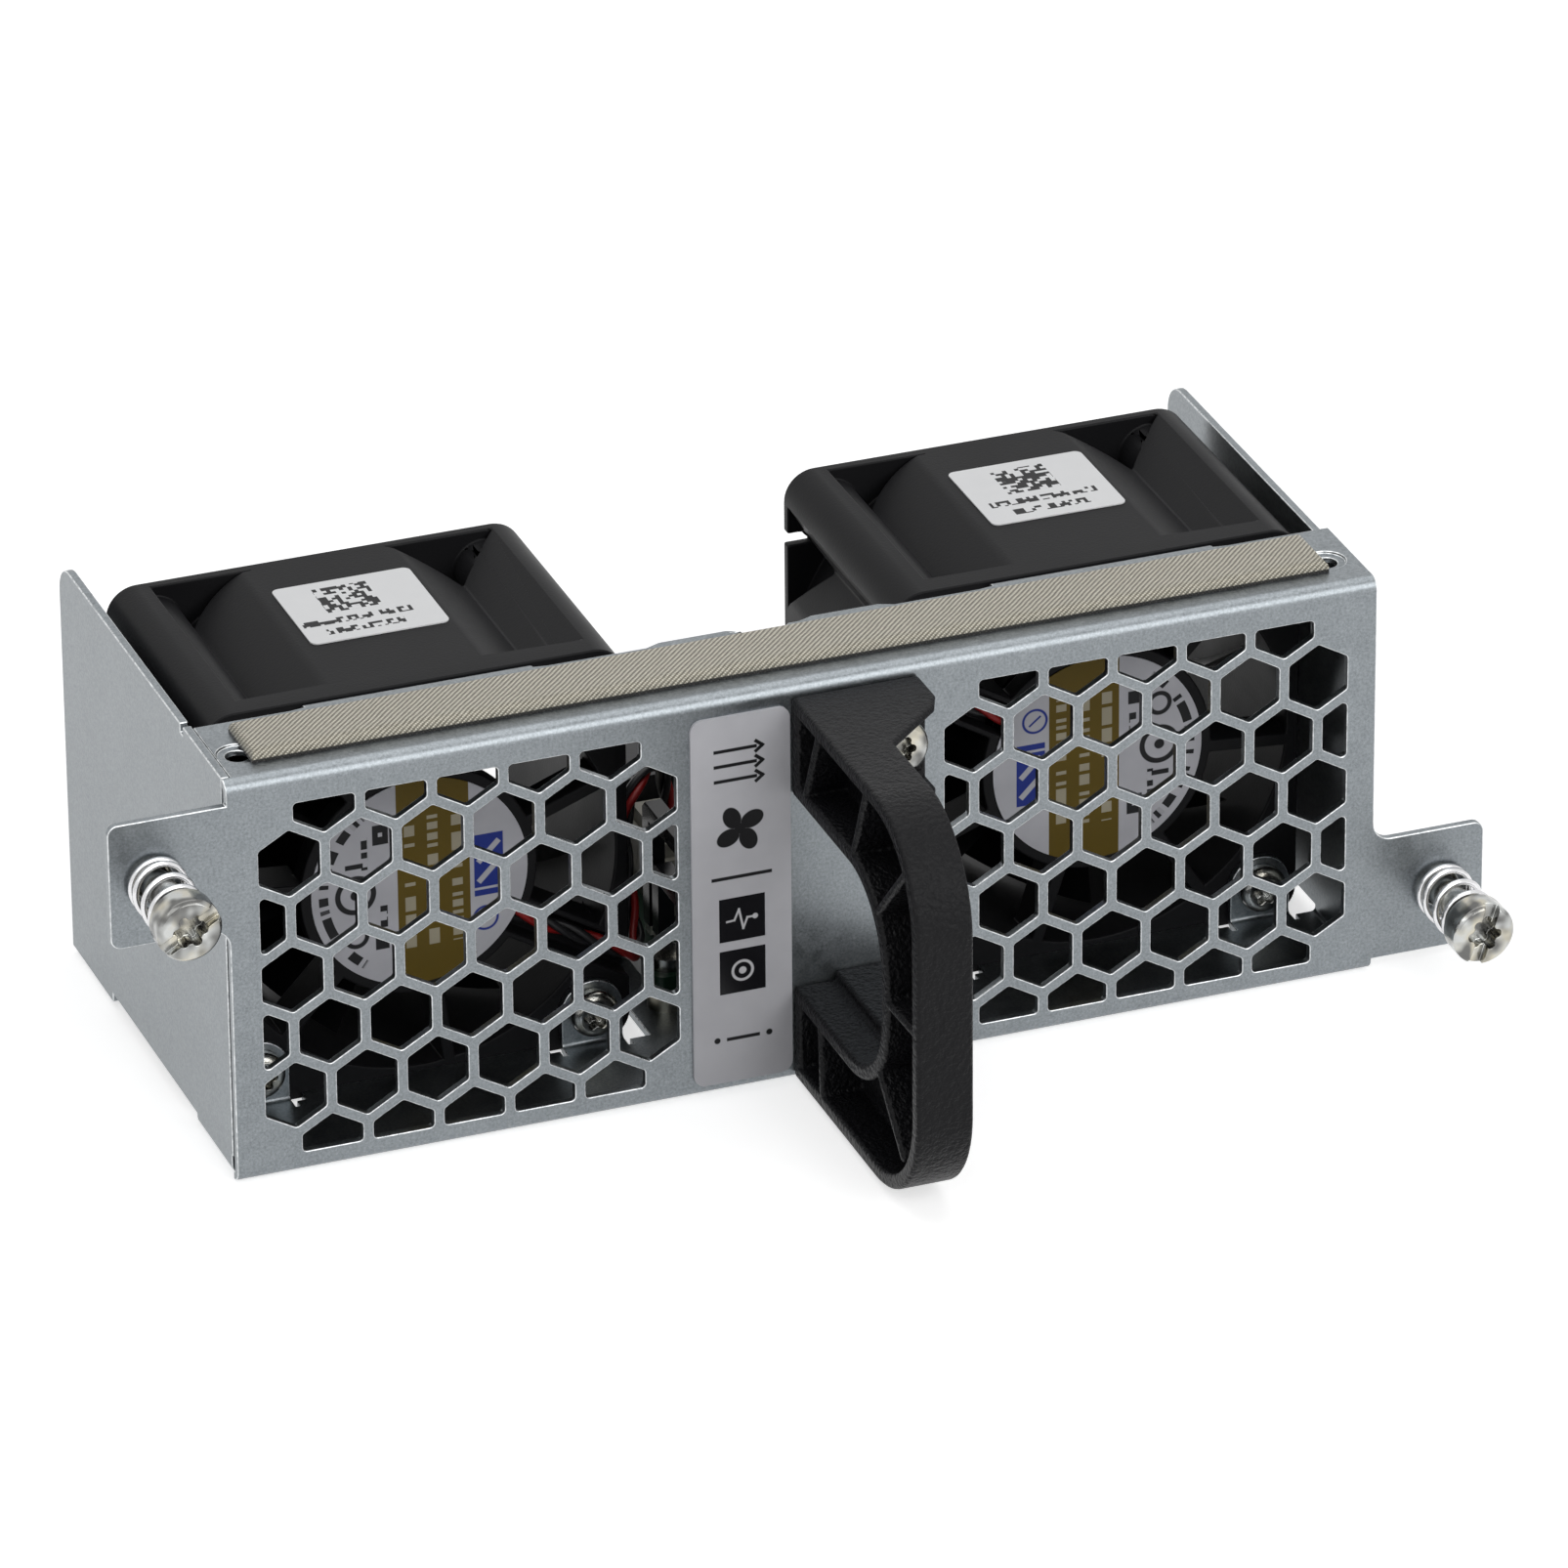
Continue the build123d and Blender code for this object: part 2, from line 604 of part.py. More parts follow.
with BuildPart() as handle:
    with BuildSketch(Plane.YZ.offset(strap_left_x)) as strap:
        add(strap_outline(handle_reach, handle_height, handle_mid_z, handle_outer_round))
        add(strap_outline(grip_reach, grip_height, grip_mid_z, grip_round), mode=Mode.SUBTRACT)
    extrude(amount=strap_right_x - strap_left_x)
    # hollow of the strap
    with BuildSketch(Plane.YZ.offset(strap_left_x)) as hollow:
        add(strap_outline(handle_reach - handle_wall, handle_height - 2 * handle_wall, handle_mid_z,
                          handle_outer_round - handle_wall, handle_wall))
        add(strap_outline(grip_reach + handle_wall, grip_height + 2 * handle_wall, grip_mid_z,
                          grip_round + handle_wall), mode=Mode.SUBTRACT)
        for inner_share, outer_share in rib_shares:
            start = (front_y - inner_share[0] * grip_reach, grip_low_z + inner_share[1] * grip_height)
            end = (front_y - outer_share[0] * handle_reach, handle_base_z + outer_share[1] * handle_height)
            run, rise = end[0] - start[0], end[1] - start[1]
            with Locations(((start[0] + end[0]) / 2, (start[1] + end[1]) / 2)):
                Rectangle(math.hypot(run, rise), rib_width, mode=Mode.SUBTRACT,
                          rotation=math.degrees(math.atan2(rise, run)))
    extrude(amount=strap_right_x - strap_left_x - handle_web, mode=Mode.SUBTRACT)
    # feet: a screw plate with a wall above and below it that tapers back to the strap
    for foot_outer_z, toward in ((handle_top_z, -1), (handle_base_z, 1)):
        foot_mid_z = foot_outer_z + toward * foot_height / 2
        with BuildSketch(facing_front(front_y)) as foot:
            with Locations((strap_right_x - handle_web, foot_mid_z)):
                Rectangle(handle_web + foot_reach, foot_height, align=(Align.MIN, Align.CENTER))
            with Locations((handle_screw_x, foot_outer_z + toward * handle_screw_inset)):
                Circle(screw_radius + contact_gap, mode=Mode.SUBTRACT)
        extrude(amount=foot_plate)
        with BuildSketch(Plane.XY.offset(foot_mid_z - foot_height / 2)) as foot_walls:
            with BuildLine():
                Polyline((strap_right_x - handle_web, front_y), (strap_right_x + foot_reach, front_y),
                         (strap_right_x + foot_reach, front_y - foot_short),
                         (strap_right_x, front_y - foot_long),
                         (strap_right_x - handle_web, front_y - foot_long), close=True)
            make_face()
            chamfer(foot_walls.vertices().sort_by(Axis.X)[-2:], foot_chamfer)
        extrude(amount=foot_wall)
        extrude(foot_walls.sketch.moved(Location((0, 0, foot_height - foot_wall))), amount=foot_wall)
handle.part.label = "handle"
export_step(handle.part, "parts/handle.step")

# Places of the handle screws
handle_screw_zs = (handle_top_z - handle_screw_inset, handle_base_z + handle_screw_inset)


def star_recess(size_share=1):
    """Six-lobed drive recess about the origin of its plane."""
    with BuildSketch() as star:
        Circle(recess_core_radius * size_share)
        with PolarLocations(recess_core_radius * size_share, recess_lobes):
            Circle(recess_lobe_radius * size_share)
    return star.sketch


def pan_screw(x, seat_y, z, length, head_radius, head_height):
    """Pan-head screw along Y, seated at seat_y with its head to the front and a star recess."""
    with BuildPart() as screw:
        with BuildSketch(Plane.YZ.offset(x)) as half:
            with Locations((seat_y, z)):
                Rectangle(head_height, head_radius, align=(Align.MAX, Align.MIN))
                Rectangle(length, screw_radius, align=(Align.MIN, Align.MIN))
            fillet(half.vertices().group_by(Axis.X)[0].sort_by(Axis.Y)[-1], pan_head_round)
            chamfer(half.vertices().group_by(Axis.X)[-1].sort_by(Axis.Y)[-1], captive_point)
        revolve(axis=Axis((x, 0, z), (0, 1, 0)))
        with BuildSketch(facing_front(seat_y - head_height)) as recess:
            with Locations((x, z)):
                add(star_recess())
        extrude(amount=-recess_depth, mode=Mode.SUBTRACT)
    return screw.part


handle_screw_set = [pan_screw(handle_screw_x, front_y - foot_plate, z, handle_screw_length,
                              handle_screw_head_radius, handle_screw_head)
                    for z in handle_screw_zs]
with BuildPart() as handle_screws:
    add(handle_screw_set)
handle_screws.part.label = "handle_screws"
export_step(handle_screws.part, "parts/handle_screws.step")

fan_screw_set = [pan_screw(x, lip_y, screw_z, fan_screw_length, fan_screw_head_radius, fan_screw_head)
                 for x in tab_xs]
with BuildPart() as fan_screws:
    add(fan_screw_set)
fan_screws.part.label = "fan_screws"
export_step(fan_screws.part, "parts/fan_screws.step")

# Captive screws, their springs in front of the ears and their retaining clips behind them
head_seat_y = front_y - captive_front + captive_head_length
clip_y = plate_back_y + contact_gap
spring_length = front_y - head_seat_y - spring_wire - contact_gap
closed_pitch = spring_wire + spring_coil_gap
open_pitch = (spring_length - sum(spring_end_turns) * closed_pitch) / spring_open_turns
spring_runs = ((spring_end_turns[0], closed_pitch), (spring_open_turns, open_pitch),
               (spring_end_turns[1], closed_pitch))

for side, x, z, slot_angle in (("left", -ear_centre_x, left_ear_z, captive_angles[0]),
                               ("right", ear_centre_x, right_ear_z, captive_angles[1])):
    screw_axis = Axis((x, 0, z), (0, 1, 0))

    with BuildPart() as captive_screw:
        with BuildSketch(Plane.YZ.offset(x)) as half:
            with Locations((head_seat_y, z)):
                Rectangle(captive_head_length, captive_head_radius, align=(Align.MAX, Align.MIN))
                Rectangle(front_y + captive_tail - head_seat_y, screw_radius, align=(Align.MIN, Align.MIN))
            head_rims = half.vertices().filter_by(lambda v: abs(v.Y - z - captive_head_radius) < contact_gap)
            chamfer(head_rims, captive_chamfer)
            chamfer(half.vertices().group_by(Axis.X)[-1].sort_by(Axis.Y)[-1], captive_point)
            with Locations((clip_y, z + clip_groove_radius)):
                Rectangle(collar_width, screw_radius, align=(Align.MIN, Align.MIN), mode=Mode.SUBTRACT)
        revolve(axis=screw_axis)
        with BuildSketch(facing_front(head_seat_y - captive_head_length)) as slot:
            with Locations((x, z)):
                Rectangle(2 * captive_head_radius + overrun, captive_slot_width, rotation=slot_angle)
        extrude(amount=-captive_slot_depth, mode=Mode.SUBTRACT)
        with BuildSketch(facing_front(head_seat_y - captive_head_length)) as star:
            with Locations((x, z)):
                add(star_recess(captive_recess_share))
        extrude(amount=-captive_recess_depth, mode=Mode.SUBTRACT)
    captive_screw.part.label = f"{side}_captive_screw"
    export_step(captive_screw.part, f"parts/{side}_captive_screw.step")

    with BuildPart() as retaining_clip:
        with BuildSketch(facing_front(clip_y + running_gap)) as clip:
            with Locations((x, z)):
                Circle(collar_radius)
                Circle(clip_groove_radius + running_gap, mode=Mode.SUBTRACT)
        extrude(amount=-(collar_width - 2 * running_gap))
    retaining_clip.part.label = f"{side}_retaining_clip"
    export_step(retaining_clip.part, f"parts/{side}_retaining_clip.step")

    with BuildPart() as screw_spring:
        # closed coils at both ends and open ones between, each run turned on to start where the last ends
        coil_y, coil_turn, runs = front_y - (spring_wire + contact_gap) / 2, 0, []
        for turns, pitch in spring_runs:
            with BuildLine() as coil:
                Helix(pitch, turns * pitch, spring_radius - spring_wire / 2, center=(x, coil_y, z),
                      direction=(0, -1, 0))
            runs.append(coil.line.edge().rotate(screw_axis, -coil_turn))
            coil_y, coil_turn = coil_y - turns * pitch, coil_turn + 360 * turns
        spring_path = Wire(runs)
        with BuildSketch(Plane(origin=spring_path @ 0, z_dir=spring_path % 0)) as wire:
            Circle(spring_wire / 2)
        sweep(path=spring_path, is_frenet=True, transition=Transition.TRANSFORMED)
    screw_spring.part.label = f"{side}_screw_spring"
    export_step(screw_spring.part, f"parts/{side}_screw_spring.step")

# One fan on its own axis: its front face is at z = 0 and its upper side faces -Y
lead_angle = 180 + math.degrees(math.atan2(lead_exit_y, fan_half))
rear_flange_z = fan_depth - rear_flange
strut_length = duct_radius - base_radius + 2 * strut_inset
strut_middle = (base_radius + duct_radius) / 2

with BuildSketch() as corner_post:
    with BuildLine():
        Polyline((fan_half, -fan_half), (fan_half - post_slope_top, -fan_half),
                 (fan_half - post_slope_foot, -fan_half + post_slope_depth),
                 (fan_half - post_slope_foot, -fan_half + post_depth),
                 (fan_half - post_crest, -fan_half + post_crest), (fan_half, -fan_half + post_crest),
                 close=True)
    make_face()

with BuildPart() as pockets:
    with BuildSketch(Plane.XZ.offset(fan_half + overrun)) as arc_pocket:
        with Locations((pocket_arc_x, rear_flange_z)):
            Rectangle(fan_half - post_crest + pocket_arc_x, pocket_arc_radius, align=(Align.MAX, Align.MAX))
        with Locations((pocket_arc_x, rear_flange_z - pocket_arc_radius)):
            Circle(pocket_arc_radius, mode=Mode.SUBTRACT)
    extrude(amount=-(pocket_depth + overrun))
    with BuildSketch(Plane.XZ.offset(fan_half + overrun)) as side_pocket:
        with BuildLine():
            Polyline((side_pocket_near, rear_flange_z), (fan_half - side_pocket_inset, rear_flange_z),
                     (side_pocket_tip_x, rear_flange_z - side_pocket_rise), close=True)
        make_face()
    extrude(amount=-(pocket_depth + overrun))

with BuildPart() as fan_frame:
    # barrel and corner posts between two square flanges, with pockets in front of the rear one
    with BuildSketch() as body:
        Circle(barrel_radius)
        with PolarLocations(0, 4):
            add(corner_post.sketch)
        RectangleRounded(fan_size, fan_size, fan_corner, mode=Mode.INTERSECT)
    extrude(amount=fan_depth)
    with PolarLocations(0, 4):
        add(pockets.part, mode=Mode.SUBTRACT)
    with BuildSketch() as front_square:
        RectangleRounded(fan_size, fan_size, fan_corner)
    extrude(amount=front_flange)
    with BuildSketch(Plane.XY.offset(rear_flange_z)) as rear_square:
        RectangleRounded(fan_size, fan_size, fan_corner)
        with Locations((-fan_half, notch_inset - fan_half)):
            Rectangle(2 * notch_reach, notch_width, mode=Mode.SUBTRACT)
    extrude(amount=rear_flange)
    # duct wall and screw bosses
    with BuildSketch() as duct_tube:
        Circle(duct_radius + duct_wall)
    extrude(amount=fan_depth)
    with BuildSketch() as bosses:
        with GridLocations(2 * hole_offset, 2 * hole_offset, 2, 2):
            Circle(boss_radius)
    extrude(amount=fan_depth)
    with BuildSketch() as duct:
        Circle(duct_radius)
    extrude(amount=fan_depth, mode=Mode.SUBTRACT)
    with BuildSketch() as holes:
        with GridLocations(2 * hole_offset, 2 * hole_offset, 2, 2):
            Circle(screw_radius + contact_gap)
    extrude(amount=fan_depth, mode=Mode.SUBTRACT)
    # motor base on its struts, bearing tube, and the channel for the leads
    with BuildSketch() as base:
        Circle(base_radius)
    extrude(amount=base_depth)
    with BuildSketch() as struts:
        with PolarLocations(strut_middle, strut_count, lead_angle):
            Rectangle(strut_length, strut_width)
    extrude(amount=strut_depth)
    with BuildSketch() as channel_floor:
        with PolarLocations(strut_middle, 1, lead_angle):
            Rectangle(strut_length, lead_channel_width + strut_width)
    extrude(amount=strut_depth)
    with BuildSketch() as channel:
        with PolarLocations(lead_channel_start + fan_half / 2, 1, lead_angle):
            Rectangle(fan_half, lead_channel_width)
    extrude(amount=lead_channel_depth, mode=Mode.SUBTRACT)
    with BuildSketch() as bearing_tube:
        Circle(tube_radius)
    extrude(amount=tube_depth)
    with BuildSketch(Plane.XY.offset(bearing_places[0])) as bearing_bore:
        Circle(bearing_radius)
    extrude(amount=tube_depth, mode=Mode.SUBTRACT)
    with BuildSketch(Plane.XY.offset(base_depth)) as shaft_well:
        Circle(shaft_radius + shaft_well_gap)
    extrude(amount=tube_depth, mode=Mode.SUBTRACT)

with BuildPart() as fan_bearings:
    for z in bearing_places:
        with BuildSketch(Plane.XY.offset(z)) as bearing:
            Circle(bearing_radius)
            Circle(shaft_radius + running_gap, mode=Mode.SUBTRACT)
        extrude(amount=bearing_width)

with BuildPart() as motor_board:
    with BuildSketch(Plane.XY.offset(base_depth)) as board_disc:
        Circle(motor_board_radius)
        Circle(tube_radius, mode=Mode.SUBTRACT)
    extrude(amount=board_depth)

with BuildPart() as stator_core:
    with BuildSketch(Plane.XY.offset(core_start)) as core:
        Circle(core_radius)
        with PolarLocations(tube_radius + slot_width, pole_count, 180 / pole_count):
            Rectangle(slot_width, slot_width, mode=Mode.SUBTRACT)
        Circle(tube_radius + running_gap, mode=Mode.SUBTRACT)
    extrude(amount=core_depth)

with BuildPart() as stator_coils:
    for z in (core_start - coil_overhang, core_start + core_depth):
        with BuildSketch(Plane.XY.offset(z)) as coil_ends:
            with PolarLocations((tube_radius + core_radius) / 2, pole_count):
                Rectangle(coil_length, slot_width)
        extrude(amount=coil_overhang)

with BuildPart() as rotor_magnet:
    with BuildSketch(Plane.XY.offset(ring_start)) as magnet:
        Circle(magnet_outer)
        Circle(magnet_inner, mode=Mode.SUBTRACT)
    extrude(amount=ring_depth)

with BuildPart() as rotor_yoke:
    with BuildSketch(Plane.XY.offset(ring_start)) as yoke:
        Circle(yoke_outer)
        Circle(magnet_outer, mode=Mode.SUBTRACT)
    extrude(amount=ring_depth)

shaft_start = base_depth + board_depth
shaft_end = hub_end - hub_face / 2
with BuildPart() as rotor_shaft:
    with BuildSketch(Plane.XY.offset(shaft_start)) as shaft:
        Circle(shaft_radius)
    extrude(amount=shaft_end - shaft_start)

# One blade: a curved section at the hub lofted to a longer one past the tip, trimmed to the tip's circle
blade_mid_z = (blade_start + blade_end) / 2
blade_half_length = (blade_end - blade_start) / 2
with BuildPart() as blade:
    for radius, half_chord, bow in ((blade_root_radius, blade_root_half, blade_root_bow),
                                    (blade_tip_radius + overrun, blade_tip_half, blade_tip_bow)):
        section_plane = Plane(origin=(radius, 0, blade_mid_z), x_dir=(0, 1, 0), z_dir=(1, 0, 0))
        with BuildSketch(section_plane) as blade_section:
            with BuildLine():
                nose, tail = (-half_chord, -blade_half_length), (half_chord, blade_half_length)
                ThreePointArc(nose, (bow, 0), tail)
                ThreePointArc(tail, (bow - blade_thickness, 0), nose)
            make_face()
    loft()
    with BuildSketch() as tip_circle:
        Circle(blade_tip_radius)
    extrude(amount=fan_depth, mode=Mode.INTERSECT)

with BuildPart() as impeller:
    with BuildSketch(Plane.XZ) as hub_half:
        with BuildLine():
            Polyline((yoke_outer, hub_start), (hub_radius, hub_start), (hub_radius, hub_end),
                     (shaft_radius, hub_end), (shaft_radius, tube_depth + hub_boss_gap),
                     (tube_radius, tube_depth + hub_boss_gap), (tube_radius, hub_end - hub_face),
                     (yoke_outer, hub_end - hub_face), close=True)
        make_face()
        fillet(hub_half.vertices().group_by(Axis.X)[-1].sort_by(Axis.Y)[-1], hub_nose)
    revolve(axis=Axis.Z)
    with BuildSketch(Plane.XY.offset(shaft_end)) as hub_cap:
        Circle(tube_radius)
    extrude(amount=hub_end - shaft_end)
    with PolarLocations(0, blade_count):
        add(blade.part)

with BuildPart() as hub_label:
    with BuildSketch() as label_disc:
        Circle(hub_label_radius)
    extrude(amount=-label_thickness)

# Both fans: the left one is the same fan turned half round on its axis
fan_places = {
    "right": Plane(origin=(fan_x, fan_y, fan_z), x_dir=(1, 0, 0), z_dir=(0, 1, 0)),
    "left": Plane(origin=(-fan_x, fan_y, fan_z), x_dir=(-1, 0, 0), z_dir=(0, 1, 0)),
}
fan_pieces = {
    "fan_frame": fan_frame, "fan_bearings": fan_bearings, "motor_board": motor_board,
    "stator_core": stator_core, "stator_coils": stator_coils, "rotor_magnet": rotor_magnet,
    "rotor_yoke": rotor_yoke, "rotor_shaft": rotor_shaft, "impeller": impeller, "hub_label": hub_label,
}
for side, place in fan_places.items():
    for name, piece in fan_pieces.items():
        placed = piece.part.moved(place.location)
        placed.label = f"{side}_{name}"
        export_step(placed, f"parts/{side}_{name}.step")

# Labels on top of the fans
for side, x in (("left", -fan_x), ("right", fan_x)):
    with BuildPart() as top_label:
        with BuildSketch(Plane.XY.offset(fan_z + fan_half)) as top_outline:
            with Locations((x + top_label_shift, fan_y + top_label_start + top_label_depth / 2)):
                RectangleRounded(top_label_width, top_label_depth, top_label_corner)
        extrude(amount=label_thickness)
    top_label.part.label = f"{side}_top_label"
    export_step(top_label.part, f"parts/{side}_top_label.step")

# Connector board on the floor tongue
with BuildPart() as connector_board:
    with BuildSketch(Plane.XY.offset(board_z)) as board_outline:
        with Locations((0, (board_start_y + board_end_y) / 2)):
            RectangleRounded(board_width, board_end_y - board_start_y, board_round)
        with Locations(*board_holes):
            Circle(board_screw_radius + contact_gap, mode=Mode.SUBTRACT)
    extrude(amount=board_thickness)
connector_board.part.label = "connector_board"
export_step(connector_board.part, "parts/connector_board.step")

with BuildPart() as board_spacers:
    with BuildSketch(Plane.XY.offset(sheet)) as spacer_rings:
        with Locations(*board_holes):
            Circle(spacer_radius)
            Circle(board_screw_radius + contact_gap, mode=Mode.SUBTRACT)
    extrude(amount=spacer_height)
board_spacers.part.label = "board_spacers"
export_step(board_spacers.part, "parts/board_spacers.step")

with BuildPart() as board_screws:
    with BuildSketch(Plane.XY) as screw_shanks:
        with Locations(*board_holes):
            Circle(board_screw_radius)
    extrude(amount=board_top_z)
    with BuildSketch(Plane.XY.offset(board_top_z)) as screw_heads:
        with Locations(*board_holes):
            Circle(board_screw_head)
    extrude(amount=board_screw_head_height)
board_screws.part.label = "board_screws"
export_step(board_screws.part, "parts/board_screws.step")

# Lead headers, open at the top, and the plugs in them
header_places = ((-header_x, header_y), (header_x, header_y))
with BuildPart() as lead_headers:
    with BuildSketch(Plane.XY.offset(board_top_z)) as header_outline:
        with Locations(*header_places):
            Rectangle(header_width, header_length)
    extrude(amount=header_height)
    with BuildSketch(Plane.XY.offset(board_top_z + header_wall)) as header_inside:
        with Locations(*header_places):
            Rectangle(header_width - 2 * header_wall, header_length - 2 * header_wall)
    extrude(amount=header_height, mode=Mode.SUBTRACT)
lead_headers.part.label = "lead_headers"
export_step(lead_headers.part, "parts/lead_headers.step")

plug_top_z = board_top_z + header_height + plug_rise
with BuildPart() as lead_plugs:
    with BuildSketch(Plane.XY.offset(board_top_z + header_wall)) as plug_outline:
        with Locations(*header_places):
            Rectangle(header_width - 2 * header_wall - plug_gap, header_length - 2 * header_wall - plug_gap)
    extrude(amount=header_height - header_wall + plug_rise)
lead_plugs.part.label = "lead_plugs"
export_step(lead_plugs.part, "parts/lead_plugs.step")

# Blind-mate connector at the rear, with its contacts in slots
rear_plug_start_y = board_end_y + rear_plug_reach - rear_plug_length
rear_plug_end_y = board_end_y + rear_plug_reach
rear_plug_z = board_top_z + rear_plug_height / 2
with BuildPart() as rear_connector:
    with BuildSketch(facing_front(rear_plug_end_y)) as plug_face:
        with Locations((0, rear_plug_z)):
            Rectangle(rear_plug_width, rear_plug_height)
        chamfer(plug_face.vertices().group_by(Axis.Y)[-1], rear_plug_round)
    extrude(amount=rear_plug_length)
    with BuildSketch(facing_front(rear_plug_end_y)) as contact_slots:
        with Locations((0, rear_plug_z)):
            with GridLocations(contact_pitch, contact_pitch, contact_count, 1):
                Rectangle(2 * contact_width, contact_height)
    extrude(amount=contact_depth, mode=Mode.SUBTRACT)
rear_connector.part.label = "rear_connector"
export_step(rear_connector.part, "parts/rear_connector.step")

with BuildPart() as connector_contacts:
    with BuildSketch(facing_front(rear_plug_end_y - contact_depth)) as contact_ends:
        with Locations((0, rear_plug_z)):
            with GridLocations(contact_pitch, contact_pitch, contact_count, 1):
                Rectangle(contact_width, contact_height / 2)
    extrude(amount=-(contact_depth - contact_width))
connector_contacts.part.label = "connector_contacts"
export_step(connector_contacts.part, "parts/connector_contacts.step")

# Fan leads, bundled: from the motor base through the channel of the fan, and over to the plugs from above
lead_routes = {
    "left": [(-24.8, 5.4, 15.24), (-18.8, 5.4, 11.95), (-11.2, 5.5, 7.1), (-9.8, 11.4, 6.8),
             (-9.6, 14.6, 12.2), (-9.4, 15.2, 17.5), (-5.9, 18.2, 20.3), (-2.9, 21.4, 17.5),
             (-2.9, 21.4, 12.2)],
    "right": [(24.8, 5.4, 24.96), (18.8, 5.4, 28.25), (11.3, 5.5, 33.1), (9.0, 11.2, 33.8),
              (6.2, 16.6, 30.9), (3.6, 20.6, 25.4), (2.9, 21.4, 18.6), (2.9, 21.4, 12.2)],
}
bend_share = 0.45
for side, places in lead_routes.items():
    route = [Vector(*place) for place in places]
    runs = [after - before for before, after in zip(route, route[1:])]
    turns = [math.radians(run.get_angle(following)) for run, following in zip(runs, runs[1:])]
    radii = [bend_share * min(run.length, following.length) / math.tan(turn / 2)
             for run, following, turn in zip(runs, runs[1:], turns)]
    print(side, "lead bends", [round(radius, 1) for radius in radii])
    with BuildPart() as fan_leads:
        with BuildLine() as lead_line:
            FilletPolyline(*route, radius=radii)
        lead_path = lead_line.wire()
        with BuildSketch(Plane(origin=lead_path @ 0, z_dir=lead_path % 0)) as bundle:
            Circle(lead_radius)
        sweep(path=lead_path)
    plain_volume = math.pi * lead_radius**2 * lead_path.length
    volume_share = fan_leads.part.volume / plain_volume
    print(side, "lead length", round(lead_path.length, 1), "volume share", volume_share)
    fan_leads.part.label = f"{side}_fan_leads"
    export_step(fan_leads.part, f"parts/{side}_fan_leads.step")
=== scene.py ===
import json
import math

import bpy
from mathutils import Matrix, Vector

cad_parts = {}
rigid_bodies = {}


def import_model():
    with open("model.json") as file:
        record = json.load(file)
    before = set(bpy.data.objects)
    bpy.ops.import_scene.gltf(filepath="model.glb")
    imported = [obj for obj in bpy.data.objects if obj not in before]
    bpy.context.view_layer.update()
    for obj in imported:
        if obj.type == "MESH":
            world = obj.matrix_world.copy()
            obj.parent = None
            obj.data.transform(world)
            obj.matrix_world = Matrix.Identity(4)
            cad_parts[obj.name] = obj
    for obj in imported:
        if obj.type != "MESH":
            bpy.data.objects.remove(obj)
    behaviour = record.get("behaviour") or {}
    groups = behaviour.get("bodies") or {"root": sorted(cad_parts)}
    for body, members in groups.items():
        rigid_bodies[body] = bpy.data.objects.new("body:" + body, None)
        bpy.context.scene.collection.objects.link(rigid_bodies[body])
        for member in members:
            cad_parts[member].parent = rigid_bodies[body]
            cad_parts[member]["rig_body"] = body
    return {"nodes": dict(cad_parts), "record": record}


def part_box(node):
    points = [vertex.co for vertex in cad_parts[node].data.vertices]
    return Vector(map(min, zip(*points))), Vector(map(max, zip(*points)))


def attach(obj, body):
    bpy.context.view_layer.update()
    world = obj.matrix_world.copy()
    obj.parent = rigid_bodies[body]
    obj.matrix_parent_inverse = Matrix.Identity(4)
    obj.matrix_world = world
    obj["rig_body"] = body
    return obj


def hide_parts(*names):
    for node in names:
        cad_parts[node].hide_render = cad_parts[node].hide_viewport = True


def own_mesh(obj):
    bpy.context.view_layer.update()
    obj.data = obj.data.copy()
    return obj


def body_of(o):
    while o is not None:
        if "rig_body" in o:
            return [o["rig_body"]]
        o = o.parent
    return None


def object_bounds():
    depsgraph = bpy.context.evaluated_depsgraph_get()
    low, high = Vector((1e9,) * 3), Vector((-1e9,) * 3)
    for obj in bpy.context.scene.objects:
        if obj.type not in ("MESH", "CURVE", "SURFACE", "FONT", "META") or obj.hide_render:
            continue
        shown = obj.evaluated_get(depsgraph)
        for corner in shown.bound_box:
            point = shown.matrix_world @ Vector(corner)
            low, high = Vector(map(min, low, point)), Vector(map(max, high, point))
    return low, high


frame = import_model()
nodes = frame["nodes"]
cad_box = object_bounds()
MM = 0.001
full_turn = 2 * math.pi


# Shader expressions
class Value:
    """A number that varies over a surface. Sums and products of it add Math nodes."""

    def __init__(self, look, socket):
        self.look = look
        self.socket = socket

    def math(self, operation, *others):
        inputs = dict(enumerate([self, *others]))
        return self.look.node("ShaderNodeMath", {"operation": operation}, inputs)

    def __add__(self, other):
        return self.math("ADD", other)

    def __sub__(self, other):
        return self.math("SUBTRACT", other)

    def __mul__(self, other):
        return self.math("MULTIPLY", other)

    def __truediv__(self, other):
        return self.math("DIVIDE", other)

    def __rsub__(self, other):
        return self.look.node("ShaderNodeMath", {"operation": "SUBTRACT"}, {0: other, 1: self})

    __radd__ = __add__

    def size(self):
        return self.math("ABSOLUTE")

    def most(self, other):
        return self.math("MAXIMUM", other)

    def below(self, edge, soft):
        """1 where the value is under the edge, 0 where it is over, softened between."""
        return self.look.node("ShaderNodeMapRange", {"interpolation_type": "SMOOTHSTEP"},
                              {"Value": self, "From Min": edge - soft, "From Max": edge + soft,
                               "To Min": 1.0, "To Max": 0.0})

    def between(self, low, high, soft=0.02):
        return (self - (low + high) / 2).size().below((high - low) / 2, soft)

    def stretch(self, low, high):
        """0 at the low value and under, 1 at the high value and over."""
        return self.look.node("ShaderNodeMapRange", {},
                              {"Value": self, "From Min": low, "From Max": high,
                               "To Min": 0.0, "To Max": 1.0})


